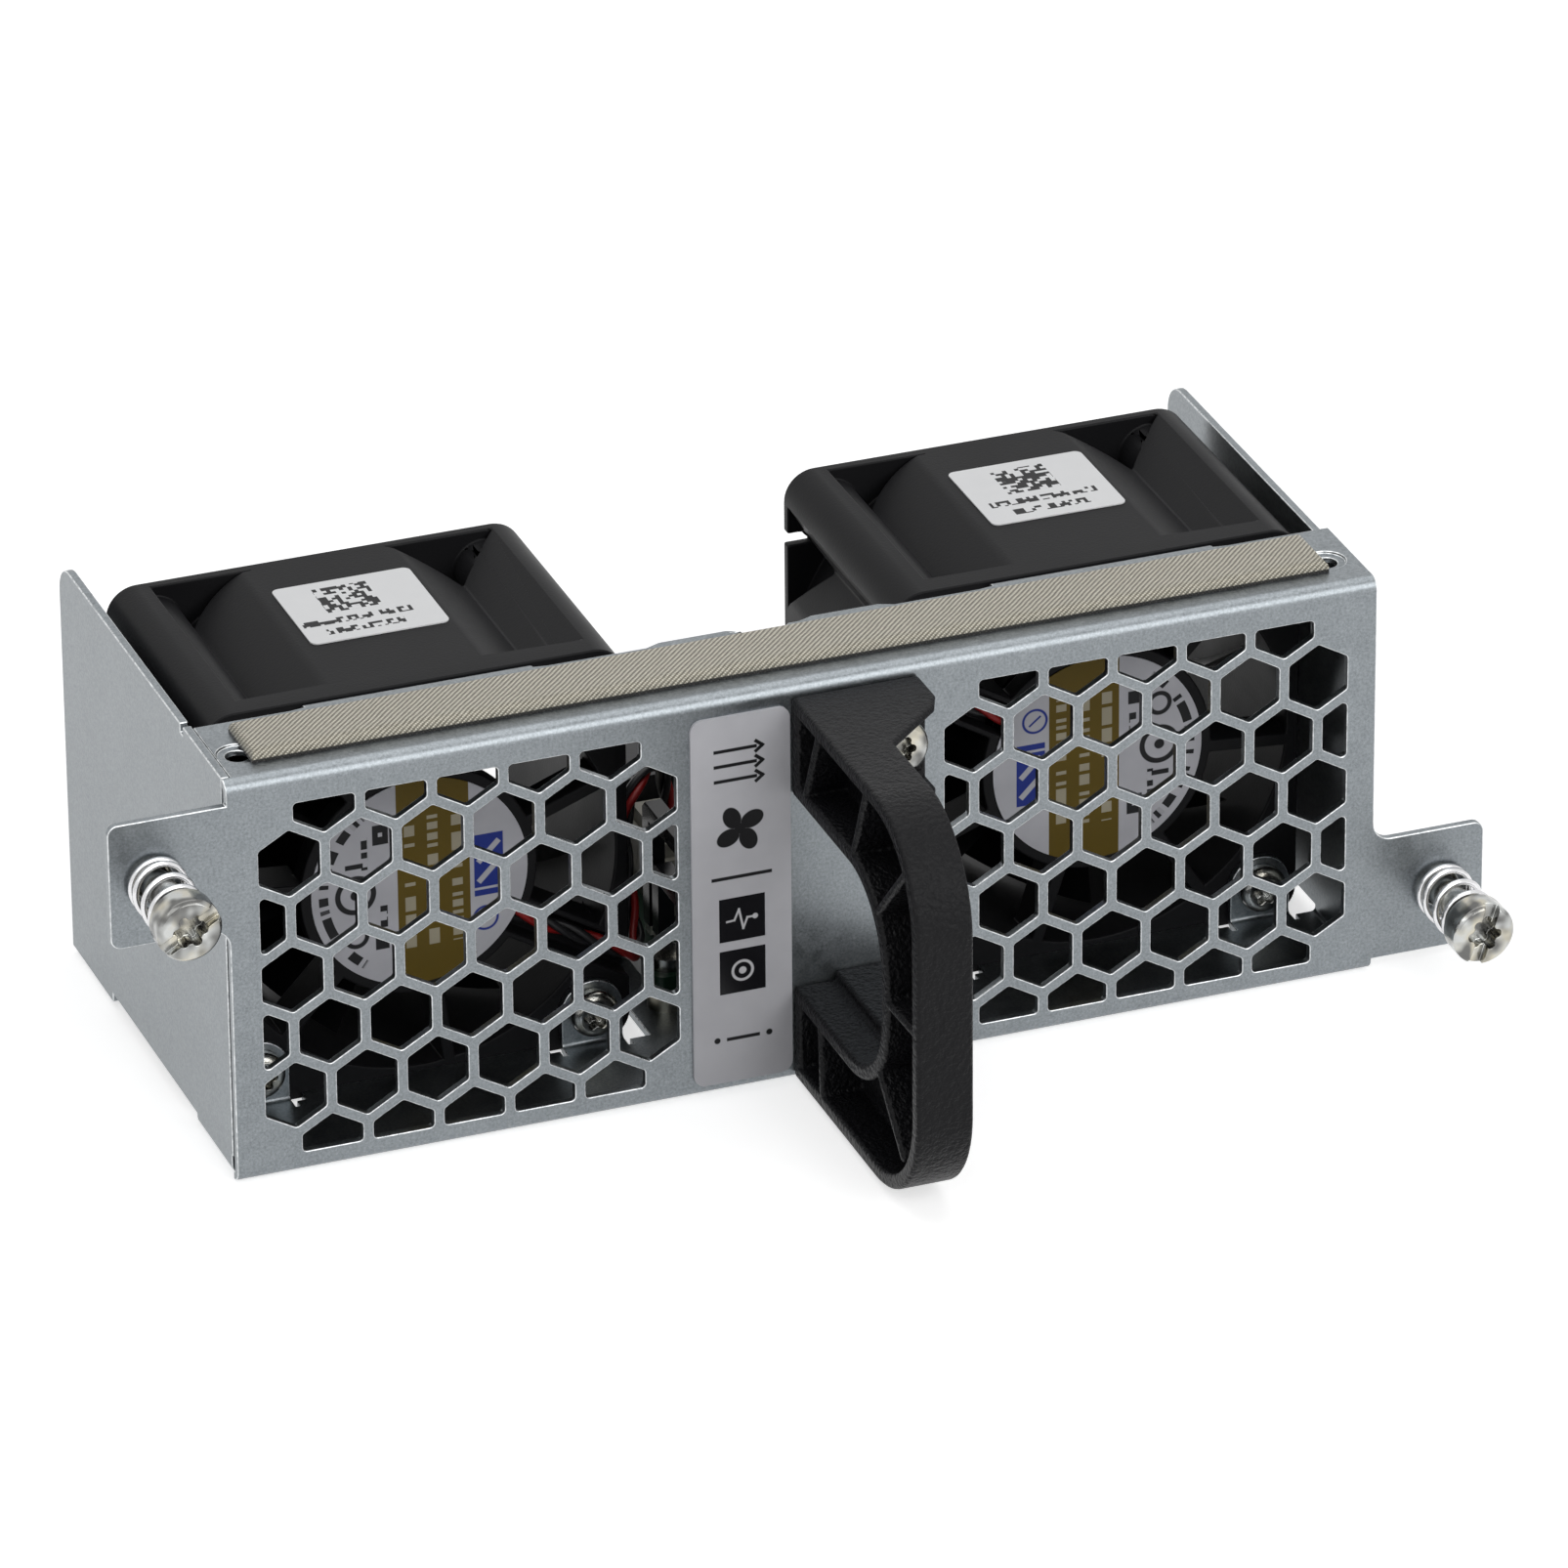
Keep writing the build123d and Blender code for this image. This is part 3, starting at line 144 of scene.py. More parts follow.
class Look:
    """One material: its nodes, and the shader that they feed."""

    def __init__(self, name, **constants):
        self.material = bpy.data.materials.new(name)
        self.material.use_nodes = True
        self.tree = self.material.node_tree
        self.shader = self.tree.nodes["Principled BSDF"]
        self.set(**constants)

    def node(self, kind, settings, inputs, output=0):
        """Adds a node with its settings, then its inputs, and returns one output as a Value."""
        made = self.tree.nodes.new(kind)
        for name, value in settings.items():
            setattr(made, name, value)
        for name, value in inputs.items():
            self.feed(made.inputs[name], value)
        return Value(self, made.outputs[output])

    def feed(self, socket, value):
        if isinstance(value, Value):
            self.tree.links.new(value.socket, socket)
        else:
            socket.default_value = value

    def set(self, **values):
        for name, value in values.items():
            self.feed(self.shader.inputs[name.replace("_", " ")], value)
        return self

    def place(self):
        """The point on the piece, in millimetres."""
        point = self.node("ShaderNodeTexCoord", {}, {}, "Object")
        return self.node("ShaderNodeVectorMath", {"operation": "SCALE"}, {0: point, "Scale": 1 / MM})

    def axes(self, place):
        split = self.tree.nodes.new("ShaderNodeSeparateXYZ")
        self.tree.links.new(place.socket, split.inputs[0])
        return [Value(self, output) for output in split.outputs]

    def noise(self, place, grain, detail=2.0, rough=0.5):
        """Noise whose lumps are about grain millimetres across."""
        return self.node("ShaderNodeTexNoise", {},
                         {"Vector": place, "Scale": 1 / grain, "Detail": detail, "Roughness": rough})

    def cells(self, place, grain):
        """A random value for each cell of about grain millimetres."""
        colour = self.node("ShaderNodeTexVoronoi", {}, {"Vector": place, "Scale": 1 / grain}, "Color")
        return self.axes(colour)[0]

    def mix(self, share, first, second):
        made = self.tree.nodes.new("ShaderNodeMix")
        made.data_type = "RGBA"
        self.feed(made.inputs["Factor"], share)
        for name, value in (("A", first), ("B", second)):
            if not isinstance(value, Value):
                value = (*value, 1.0)
            self.feed([s for s in made.inputs if s.name == name and s.type == "RGBA"][0], value)
        return Value(self, [s for s in made.outputs if s.type == "RGBA"][0])

    def bump(self, height, depth):
        """Relief of the height value times depth, in millimetres."""
        return self.node("ShaderNodeBump", {}, {"Height": height * (depth * MM), "Distance": 1.0,
                                                "Strength": 1.0}, "Normal")


# Finishes of the sheet, the screws, the plastics and the gasket
def galvanised_steel():
    """Zinc-coated sheet: a very fine grain, faint spangle and soft clouds."""
    look = Look("galvanised_steel", Metallic=1.0)
    place = look.place()
    spangle = look.cells(place, grain=1.1)
    grain = look.noise(place, grain=0.26, detail=3.0, rough=0.75)
    cloud = look.noise(place, grain=9.0, detail=3.0)
    share = spangle * 0.10 + grain.stretch(0.3, 0.7) * 0.6 + cloud * 0.15 + 0.17
    return look.set(Base_Color=look.mix(share, (0.110, 0.124, 0.134), (0.315, 0.340, 0.357)),
                    Roughness=0.27 + spangle * 0.05 + grain * 0.12,
                    Normal=look.bump(grain, depth=0.008))


def cut_edge_steel_and_highlight():
    """Rolled-over steel along the punched and sheared edges: bare cut steel, its base colour made
    brighter than the sheet's as a painted highlight along every edge.
    """
    look = Look("cut_edge_steel_and_highlight", Metallic=1.0)
    wear = look.noise(look.place(), grain=0.6, detail=3.0, rough=0.6)
    # painted highlight: both tones sit well above the sheet's, so every cut edge shows bright
    return look.set(Base_Color=look.mix(wear.stretch(0.3, 0.7), (0.36, 0.38, 0.39), (0.78, 0.80, 0.81)),
                    Roughness=0.22 + wear * 0.12)


def zinc_plate():
    """Plated screws: bright and dark patches with a faint yellow tint; the patches are a painted
    reflection of a light and dark surround.
    """
    look = Look("zinc_plate", Metallic=1.0)
    place = look.place()
    tint = look.noise(place, grain=2.2).stretch(0.42, 0.62)
    wear = look.noise(place, grain=0.35, detail=3.0, rough=0.6)
    painted_reflection = look.noise(place, grain=1.6, detail=1.0).stretch(0.36, 0.64)
    bright = look.mix(tint, (0.54, 0.55, 0.54), (0.55, 0.52, 0.43))
    # painted reflection: dark and bright patches stand in for a surround mirrored in the plating
    return look.set(Base_Color=look.mix(painted_reflection, (0.15, 0.15, 0.145), bright),
                    Roughness=0.12 + wear * 0.14,
                    Normal=look.bump(wear, depth=0.01))


def black_textured_plastic():
    """The handle's pebbled moulding."""
    look = Look("black_textured_plastic", Specular_IOR_Level=0.13)
    place = look.place()
    pebble = look.noise(place, grain=0.45)
    patch = look.noise(place, grain=6.0)
    return look.set(Base_Color=look.mix(patch, (0.005, 0.005, 0.006), (0.009, 0.009, 0.010)),
                    Roughness=0.30 + pebble * 0.16,
                    Normal=look.bump(pebble, depth=0.24))


def black_frame_plastic():
    """The fans' frames: a plain satin moulding with flow marks."""
    look = Look("black_frame_plastic", Specular_IOR_Level=0.09)
    place = look.place()
    fine = look.noise(place, grain=0.25)
    flow = look.noise(place, grain=7.0, detail=3.0)
    return look.set(Base_Color=look.mix(flow, (0.007, 0.007, 0.008), (0.014, 0.014, 0.015)),
                    Roughness=0.34 + flow * 0.16,
                    Normal=look.bump(fine, depth=0.012))


def impeller_plastic():
    look = Look("impeller_plastic", Specular_IOR_Level=0.12)
    fine = look.noise(look.place(), grain=0.3)
    return look.set(Base_Color=look.mix(fine, (0.006, 0.006, 0.007), (0.010, 0.010, 0.011)),
                    Roughness=0.30 + fine * 0.12)


def conductive_fabric():
    """Metal-coated cloth in a twill weave: slanting ribs, each a row of small threads, and a painted
    line of shade along the foot, where the strip sits on the sheet."""
    rib_pitch, thread_pitch, foot_shade_height = 0.57, 0.36, 0.3
    look = Look("conductive_fabric", Metallic=0.3, Sheen_Weight=0.25)
    place = look.place()
    x, y, z = look.axes(place)
    drift = look.noise(place, grain=3.0) * 0.35
    slant = x - y - z + drift
    rib = (slant * (full_turn / rib_pitch)).math("SINE") * 0.5 + 0.5
    thread = ((x + y + z) * (full_turn / thread_pitch) + slant * 2.0).math("SINE") * 0.5 + 0.5
    fuzz = look.noise(place, grain=0.3, detail=3.0, rough=0.6)
    weave = rib * 0.45 + rib * thread * 0.55
    share = weave * 0.95 + fuzz * 0.45 - 0.16
    # painted shade: a dark band along the foot of the strip, where it meets the sheet
    foot_shade = z.below(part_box("emi_gasket")[0][2] / MM + foot_shade_height, soft=0.06)
    cloth = look.mix(share, (0.11, 0.10, 0.072), (0.74, 0.70, 0.59))
    return look.set(Base_Color=look.mix(foot_shade, cloth, (0.015, 0.014, 0.012)),
                    Roughness=0.62 - weave * 0.22,
                    Normal=look.bump(weave + fuzz * 0.3, depth=0.07))


def plain_plastic(name, dark, light, rough, grain=1.5, depth=0.01):
    look = Look(name, Specular_IOR_Level=0.3)
    place = look.place()
    cloud = look.noise(place, grain, detail=3.0)
    fine = look.noise(place, grain=0.2)
    return look.set(Base_Color=look.mix(cloud, dark, light), Roughness=rough + fine * 0.12,
                    Normal=look.bump(fine, depth))


def plain_metal(name, dark, light, rough):
    look = plain_plastic(name, dark, light, rough, grain=1.0, depth=0.006)
    return look.set(Metallic=1.0)


# Printed faces: marks drawn in millimetres about the middle of each face
round_soft = 0.05
straight_soft = 0.04
ink = (0.004, 0.004, 0.005)


def middle_of(name):
    """The middle of a CAD piece, in millimetres."""
    low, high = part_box(name)
    return [(low[axis] + high[axis]) / 2 / MM for axis in range(3)]


def reach(u, v):
    return (u * u + v * v).math("SQRT")


def disc(u, v, centre, radius):
    """A filled circle."""
    return reach(u - centre[0], v - centre[1]).below(radius, round_soft)


def ring(u, v, centre, radius, half_width):
    return (reach(u - centre[0], v - centre[1]) - radius).size().below(half_width, round_soft)


def block(u, v, low, high):
    """A filled rectangle between two corners."""
    return u.between(low[0], high[0], straight_soft) * v.between(low[1], high[1], straight_soft)


def stroke(u, v, start, end, half_width):
    """A straight line between two points, with square ends."""
    run, rise = end[0] - start[0], end[1] - start[1]
    length = math.hypot(run, rise)
    du, dv = u - (start[0] + end[0]) / 2, v - (start[1] + end[1]) / 2
    along = (du * run + dv * rise) / length
    across = (dv * run - du * rise) / length
    return (along.size().below(length / 2 + half_width, straight_soft)
            * across.size().below(half_width, straight_soft))


def small_print(look, u, v, cell, level=0.42):
    """Random strokes that stand for a line of small print."""
    flat = look.node("ShaderNodeCombineXYZ", {}, {0: u / cell[0], 1: v / cell[1], 2: 0.5})
    snapped = look.node("ShaderNodeVectorMath", {"operation": "FLOOR"}, {0: flat})
    chance = look.node("ShaderNodeTexWhiteNoise", {"noise_dimensions": "3D"}, {"Vector": snapped})
    return 1 - chance.below(level, soft=0.001)


def all_of(marks):
    """The union of several marks."""
    whole = marks[0]
    for mark in marks[1:]:
        whole = whole.most(mark)
    return whole


def label_base(name, roughness):
    """A satin label, its place on the piece, and soft clouds for its paper."""
    look = Look(name, Specular_IOR_Level=0.18)
    place = look.place()
    fine = look.noise(place, grain=0.25)
    look.set(Roughness=roughness + fine * 0.1, Normal=look.bump(fine, depth=0.004))
    return look, place, look.noise(place, grain=3.0)


def grey_label():
    """Pale grey plate with a fan symbol, air-flow arrows and thin rules in black."""
    look, place, cloud = label_base("grey_label", 0.36)
    x, y, z = look.axes(place)
    middle = middle_of("front_label")
    u, v = x - middle[0], z - middle[2]
    fan_middle, fan_scale = (-0.1, 7.1), 1.16
    fan_u, fan_v = (u - fan_middle[0]) / fan_scale, (v - fan_middle[1]) / fan_scale
    blades = [disc(fan_u, fan_v, (0, 0), 0.42)]
    for quarter in range(4):
        turn = math.radians(90 * quarter + 24)
        along = fan_u * math.cos(turn) + fan_v * math.sin(turn)
        across = fan_v * math.cos(turn) - fan_u * math.sin(turn)
        blades.append(disc(along / 1.12, across / 0.82 - 0.25, (1.05, 0.0), 0.88))
        blades.append(stroke(along, across, (0.1, 0.0), (0.8, 0.1), 0.3))
    arrows = []
    arrow_line = 0.17
    for row in (15.1, 13.6, 12.1):
        arrows.append(stroke(u, v, (-2.4, row), (1.4, row), arrow_line))
        for barb in (0.48, -0.48):
            arrows.append(stroke(u, v, (1.5, row + barb), (2.1, row), arrow_line))
    rules = [block(u, v, (-2.9, 2.1), (2.9, 2.45)), block(u, v, (-1.6, -14.3), (1.6, -13.95)),
             disc(u, v, (-2.5, -14.1), 0.3), disc(u, v, (2.5, -14.1), 0.3)]
    plate = look.mix(cloud, (0.50, 0.50, 0.53), (0.58, 0.58, 0.61))
    return look.set(Base_Color=look.mix(all_of(blades + arrows + rules), plate, ink))


def smoked_window():
    """Dark windows, the upper one with a pulse line and the lower one with a locating ring."""
    look = Look("smoked_window", Roughness=0.16, Specular_IOR_Level=0.25)
    x, y, z = look.axes(look.place())
    middle = middle_of("front_label")
    upper_drop, lower_drop, print_depth = 2.0, 7.3, 0.15
    u = x - middle[0]
    upper, lower = z - (middle[2] - upper_drop), z - (middle[2] - lower_drop)
    face = y.below(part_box("front_label")[0][1] / MM + print_depth, soft=0.02)
    points = [(-1.45, -0.15), (-0.75, -0.1), (-0.3, 0.95), (0.1, -1.05), (0.5, 0.0), (1.0, 0.0)]
    pulse = [stroke(u, upper, start, end, 0.1) for start, end in zip(points, points[1:])]
    pulse.append(disc(u, upper, (1.25, 0.0), 0.27))
    locate = [ring(u, lower, (0, 0), 0.95, 0.13), disc(u, lower, (0, 0), 0.36)]
    return look.set(Base_Color=look.mix(all_of(pulse + locate) * face, (0.010, 0.010, 0.012),
                                        (0.62, 0.62, 0.64)))


def white_label():
    """White labels on the fans' tops: a random matrix block and two lines of small print."""
    look, place, cloud = label_base("white_label", 0.32)
    x, y, z = look.axes(place)
    middle = middle_of("right_top_label")
    u, v = x.size() - middle[0], y - middle[1]
    matrix_cell, print_cell = (0.4, 0.4), (0.34, 0.5)
    marks = all_of([block(u, v, (-2.9, -0.4), (2.3, 4.6)) * small_print(look, x, y, matrix_cell, 0.45),
                    block(u, v, (-5.4, -2.6), (5.3, -1.5)) * small_print(look, x, y, print_cell),
                    block(u, v, (-3.8, -4.6), (3.6, -3.5)) * small_print(look, x, y, print_cell)])
    paper = look.mix(cloud, (0.84, 0.85, 0.86), (0.90, 0.905, 0.915))
    return look.set(Base_Color=look.mix(marks, paper, ink))


def silver_label():
    """Labels on the motors: a silver disc with an olive band, a blue block and dark marks.
    The left fan is turned half round, and so is its label."""
    look, place, cloud = label_base("silver_label", 0.30)
    x, y, z = look.axes(place)
    middle = middle_of("right_hub_label")
    side = 1 - x.below(0.0, soft=0.5) * 2
    u, v = x.size() - middle[0], (z - middle[2]) * side
    band = u.between(-4.8, 2.1)
    blue = all_of([block(u, v, (-8.0, -3.6), (-5.2, 2.6)), ring(u, v, (-6.2, 4.9), 1.15, 0.12),
                   stroke(u, v, (-6.7, 4.5), (-5.7, 5.3), 0.1)])
    stripes = all_of([stroke(u, v, (-7.4, -2.6), (-5.8, -1.0), 0.28),
                      stroke(u, v, (-7.4, -0.6), (-5.8, 1.0), 0.28),
                      block(u, v, (-8.0, 1.75), (-5.2, 2.0))])
    dark = all_of([ring(u, v, (6.1, 0.3), 1.7, 0.26), disc(u, v, (6.1, 0.3), 0.5),
                   ring(u, v, (6.1, 4.5), 1.0, 0.22), stroke(u, v, (5.6, -2.6), (6.8, -2.6), 0.25),
                   block(u, v, (2.9, -6.4), (4.4, -4.4)), block(u, v, (3.0, 4.9), (4.3, 6.2)),
                   block(u, v, (4.9, -5.4), (5.5, -1.9)) * small_print(look, u, v, (0.7, 0.3)),
                   block(u, v, (3.1, 1.8), (3.8, 4.0)) * small_print(look, u, v, (0.8, 0.3))])
    angle = v.math("ARCTAN2", u)
    rim_turn, rim_radius, rim_cell = 0.95, 9.0, (0.42, 1.0)
    rim = (reach(u, v).between(8.7, 9.6) * angle.size().below(rim_turn, soft=0.02)
           * small_print(look, angle * rim_radius, 0.0, rim_cell))
    pale = all_of([block(u, v, (column - 0.5, -6.6), (column + 0.5, 6.6))
                   * small_print(look, column, v, (1.0, 0.36), 0.45)
                   for column in (-3.6, -1.3, 0.9)])
    square = block(u, v, (3.45, -5.6), (3.85, -5.2))
    silver = look.mix(cloud, (0.50, 0.50, 0.54), (0.62, 0.62, 0.66))
    colour = look.mix(band, silver, (0.13, 0.085, 0.006))
    colour = look.mix(pale * band, colour, (0.42, 0.38, 0.28))
    colour = look.mix(blue * (1 - stripes), colour, (0.02, 0.04, 0.28))
    colour = look.mix(dark.most(rim) * (1 - square), colour, (0.012, 0.012, 0.014))
    return look.set(Base_Color=colour)


# Each plain finish: its dark tone, its light tone and its roughness
plain_plastics = {
    "lamp": ((0.75, 0.76, 0.68), (0.86, 0.87, 0.80), 0.2),
    # painted shade: the board's green is darker than a bare board's, for the shade inside the case
    "circuit_board": ((0.004, 0.018, 0.009), (0.007, 0.030, 0.015), 0.25),
    # painted shade: the white connector's tones are a dark grey, for the shade inside the case
    "white_connector": ((0.24, 0.23, 0.20), (0.30, 0.29, 0.25), 0.4),
    "black_connector": ((0.015, 0.015, 0.016), (0.025, 0.025, 0.027), 0.4),
    "rubber_magnet": ((0.03, 0.028, 0.028), (0.06, 0.055, 0.055), 0.6),
    "lead_sleeve": ((0.22, 0.008, 0.008), (0.32, 0.012, 0.012), 0.35),
    "black_sleeve": ((0.012, 0.012, 0.013), (0.02, 0.02, 0.022), 0.3),
}
plain_metals = {
    "gold_contact": ((0.72, 0.50, 0.20), (0.88, 0.66, 0.32), 0.2),
    "bearing_steel": ((0.62, 0.62, 0.63), (0.80, 0.80, 0.81), 0.15),
    "lamination_steel": ((0.22, 0.22, 0.24), (0.36, 0.36, 0.38), 0.4),
    "copper_wire": ((0.45, 0.17, 0.06), (0.75, 0.34, 0.15), 0.3),
    # painted shade: the spacer's nickel is darker than bare nickel, for the shade inside the case
    "nickel_spacer": ((0.24, 0.23, 0.19), (0.38, 0.36, 0.30), 0.25),
}
looks = {
    "galvanised_steel": galvanised_steel(),
    "cut_edge_steel_and_highlight": cut_edge_steel_and_highlight(),
    "zinc_plate": zinc_plate(),
    "black_textured_plastic": black_textured_plastic(),
    "black_frame_plastic": black_frame_plastic(),
    "impeller_plastic": impeller_plastic(),
    "conductive_fabric": conductive_fabric(),
    "grey_label": grey_label(),
    "white_label": white_label(),
    "silver_label": silver_label(),
    "smoked_window": smoked_window(),
}
for name, tones in plain_plastics.items():
    looks[name] = plain_plastic(name, *tones)
for name, tones in plain_metals.items():
    looks[name] = plain_metal(name, *tones)

slots = {row["node"]: row["material_slot"] for row in frame["record"]["subparts"]}
for name, node in nodes.items():
    node.data.materials.clear()
    node.data.materials.append(looks[slots[name]].material)

# Stage, lights and camera
floor_width = 6.0
floor_drop = 0.2 * MM
floor_glow = 0.62
world_glow = 0.14


def studio_floor():
    """A pale floor, white to the camera and in reflections, that keeps the object's shadow."""
    bpy.ops.object.select_all(action="DESELECT")
    bpy.ops.mesh.primitive_plane_add(size=floor_width, location=(0, 0, cad_box[0][2] - floor_drop))
    floor = bpy.context.object
    floor.name = "studio_floor"
    look = Look("studio_floor_white", Roughness=0.9, Base_Color=(0.82, 0.82, 0.82, 1.0),
                Emission_Color=(1.0, 1.0, 1.0, 1.0))
    rays = look.tree.nodes.new("ShaderNodeLightPath")
    seen = all_of([Value(look, rays.outputs[ray])
                   for ray in ("Is Camera Ray", "Is Glossy Ray", "Is Transmission Ray")])
    look.set(Emission_Strength=seen * floor_glow)
    floor.data.materials.append(look.material)


def soft_box(name, place, width, height, power):
    """A rectangular lamp aimed at the middle of the object."""
    light = bpy.data.lights.new(name, "AREA")
    light.shape = "RECTANGLE"
    light.size = width
    light.size_y = height
    light.energy = power
    aim = Vector((0, 0, 0.02))
    facing = (Vector(place) - aim).to_track_quat("Z", "Y").to_matrix().to_4x4()
    lamp = bpy.data.objects.new(name, light)
    lamp.matrix_world = Matrix.Translation(place) @ facing
    bpy.context.scene.collection.objects.link(lamp)


def pale_world():
    """A dim surround, white to the camera and in reflections."""
    world = bpy.data.worlds.new("pale_studio")
    bpy.context.scene.world = world
    world.use_nodes = True
    tree = world.node_tree
    background = tree.nodes["Background"]
    rays = tree.nodes.new("ShaderNodeLightPath")
    seen = rays.outputs["Is Camera Ray"]
    for ray in ("Is Glossy Ray", "Is Transmission Ray"):
        either = tree.nodes.new("ShaderNodeMath")
        either.operation = "MAXIMUM"
        tree.links.new(seen, either.inputs[0])
        tree.links.new(rays.outputs[ray], either.inputs[1])
        seen = either.outputs[0]
    strength = tree.nodes.new("ShaderNodeMapRange")
    strength.inputs["To Min"].default_value = world_glow
    strength.inputs["To Max"].default_value = 1.0
    tree.links.new(seen, strength.inputs["Value"])
    tree.links.new(strength.outputs[0], background.inputs["Strength"])
    background.inputs["Color"].default_value = (1.0, 1.0, 1.0, 1.0)


def photo_camera():
    """The camera fitted to the photo."""
    turn, tilt, roll = math.radians(-20.569), math.radians(27.276), math.radians(-0.507)
    aim = Vector((-0.00731, -0.02112, 0.03718))
    distance = 1.0808
    back = Vector((math.sin(turn) * math.cos(tilt), -math.cos(turn) * math.cos(tilt), math.sin(tilt)))
    level = Vector((math.cos(turn), math.sin(turn), 0))
    upright = back.cross(level)
    right = math.cos(roll) * level + math.sin(roll) * upright
    up = math.cos(roll) * upright - math.sin(roll) * level
    data = bpy.data.cameras.new("camera")
    data.sensor_width = 36.0
    data.lens = 281.16
    data.clip_start = 0.05
    camera = bpy.data.objects.new("camera", data)
    facing = Matrix((right, up, back)).transposed().to_4x4()
    camera.matrix_world = Matrix.Translation(aim + distance * back) @ facing
    bpy.context.scene.collection.objects.link(camera)
    bpy.context.scene.camera = camera


studio_floor()
soft_box("front_light", place=(0.34, -0.95, 0.62), width=0.9, height=0.8, power=6.0)
soft_box("left_light", place=(-0.6, -0.7, 0.8), width=0.7, height=0.5, power=2.0)
soft_box("top_light", place=(0.0, 0.2, 1.2), width=1.5, height=1.2, power=6.0)
pale_world()
photo_camera()
bpy.context.scene.view_settings.view_transform = "Standard"

# Copies of CAD pieces with softened edges, and smooth-shaded copies of the springs
joining_gap = 0.002 * MM
flat_angle = math.radians(0.5)
sharp_angle = math.radians(32)
shaded_angle = math.radians(40)
round_angle = math.radians(50)


def merged_copy(name, ending):
    """A copy of a CAD piece, its triangles joined up."""
    node = nodes[name]
    mesh = node.data.copy()
    mesh.transform(node.matrix_world)
    copy = bpy.data.objects.new(f"{name}_{ending}", mesh)
    bpy.context.scene.collection.objects.link(copy)
    bpy.ops.object.select_all(action="DESELECT")
    copy.select_set(True)
    bpy.context.view_layer.objects.active = copy
    bpy.ops.object.mode_set(mode="EDIT")
    bpy.ops.mesh.select_all(action="SELECT")
    bpy.ops.mesh.remove_doubles(threshold=joining_gap)
    bpy.ops.object.mode_set(mode="OBJECT")
    return copy


def in_place_of(copy, name):
    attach(copy, body_of(nodes[name])[0])
    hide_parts(name)


def softened(name, width, segments=2, edge_finish=None):
    """A copy of a CAD piece with its sharp edges rounded, shown in the piece's place.
    The width is in millimetres."""
    copy = merged_copy(name, "softened")
    bpy.ops.object.mode_set(mode="EDIT")
    bpy.ops.mesh.dissolve_limited(angle_limit=flat_angle)
    bpy.ops.object.mode_set(mode="OBJECT")
    rounding = copy.modifiers.new("softened_edges", "BEVEL")
    rounding.width = width * MM
    rounding.segments = segments
    rounding.limit_method = "ANGLE"
    rounding.angle_limit = sharp_angle
    rounding.use_clamp_overlap = False
    rounding.loop_slide = False
    if edge_finish:
        copy.data.materials.append(looks[edge_finish].material)
        rounding.material = 1
    bpy.ops.object.modifier_apply(modifier=rounding.name)
    bpy.ops.object.shade_smooth_by_angle(angle=shaded_angle)
    flattening = copy.modifiers.new("flat_faces", "WEIGHTED_NORMAL")
    flattening.weight = 90
    flattening.keep_sharp = True
    bpy.ops.object.modifier_apply(modifier=flattening.name)
    in_place_of(copy, name)


def closing_spring(side):
    """A captive screw's spring, which closes up as the screw is pressed in; here a smooth-shaded copy
    with a mesh of its own, shown in the spring's place.
    """
    name = f"{side}_screw_spring"
    copy = merged_copy(name, "closing")
    bpy.ops.object.shade_smooth_by_angle(angle=round_angle)
    in_place_of(copy, name)
    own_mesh(copy)


softened("tray_shell", 0.10, edge_finish="cut_edge_steel_and_highlight")
softened("handle", 0.4, segments=3)
softened("handle_screws", 0.12)
softened("fan_screws", 0.12)
for side in ("left", "right"):
    softened(f"{side}_fan_frame", 0.2)
    softened(f"{side}_captive_screw", 0.1)
    closing_spring(side)

# Gasket: a domed strip of cloth over foam, cut square at its ends
crown_rounding = 0.95 * MM
crown_reach = 0.1 * MM


def gasket_strip():
    low, high = (Vector(corner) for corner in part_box("emi_gasket"))
    bpy.ops.object.select_all(action="DESELECT")
    bpy.ops.mesh.primitive_cube_add(size=1.0, location=(low + high) / 2, scale=high - low)
    strip = bpy.context.object
    strip.name = "gasket_strip"
    bpy.ops.object.transform_apply(location=True, rotation=True, scale=True)
    bpy.ops.object.mode_set(mode="EDIT")
    bpy.ops.mesh.select_all(action="DESELECT")
    bpy.ops.object.mode_set(mode="OBJECT")
    for edge in strip.data.edges:
        first, second = (strip.data.vertices[i].co for i in edge.vertices)
        lengthwise = abs(first.x - second.x) > MM
        edge.select = lengthwise and min(first.z, second.z) > high.z - crown_reach
    bpy.ops.object.mode_set(mode="EDIT")
    bpy.ops.mesh.bevel(offset=crown_rounding, segments=8, profile=0.55)
    bpy.ops.object.mode_set(mode="OBJECT")
    strip.data.materials.append(looks["conductive_fabric"].material)
    bpy.ops.object.shade_smooth_by_angle(angle=round_angle)
    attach(strip, "tray")
    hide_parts("emi_gasket")


gasket_strip()

# Fan leads: three twisted wires on the line of each fan's route
lead_routes = {
    "left": [(-0.0248, 0.0054, 0.01524), (-0.0188, 0.0054, 0.01195), (-0.0112, 0.0055, 0.0071),
             (-0.0098, 0.0114, 0.0068), (-0.0096, 0.0146, 0.0122), (-0.0094, 0.0152, 0.0175),
             (-0.0059, 0.0182, 0.0203), (-0.0029, 0.0214, 0.0175), (-0.0029, 0.0214, 0.0122)],
    "right": [(0.0248, 0.0054, 0.02496), (0.0188, 0.0054, 0.02825), (0.0113, 0.0055, 0.0331),
              (0.0090, 0.0112, 0.0338), (0.0062, 0.0166, 0.0309), (0.0036, 0.0206, 0.0254),
              (0.0029, 0.0214, 0.0186), (0.0029, 0.0214, 0.0122)],
}
strand_finishes = ("lead_sleeve", "black_sleeve", "black_sleeve")
bundle_diameter = 1.6 * MM
wire_radius = bundle_diameter / 2 / (1 + 2 / math.sqrt(3))
winding_radius = bundle_diameter / 2 - wire_radius
twist_pitch = 11 * MM


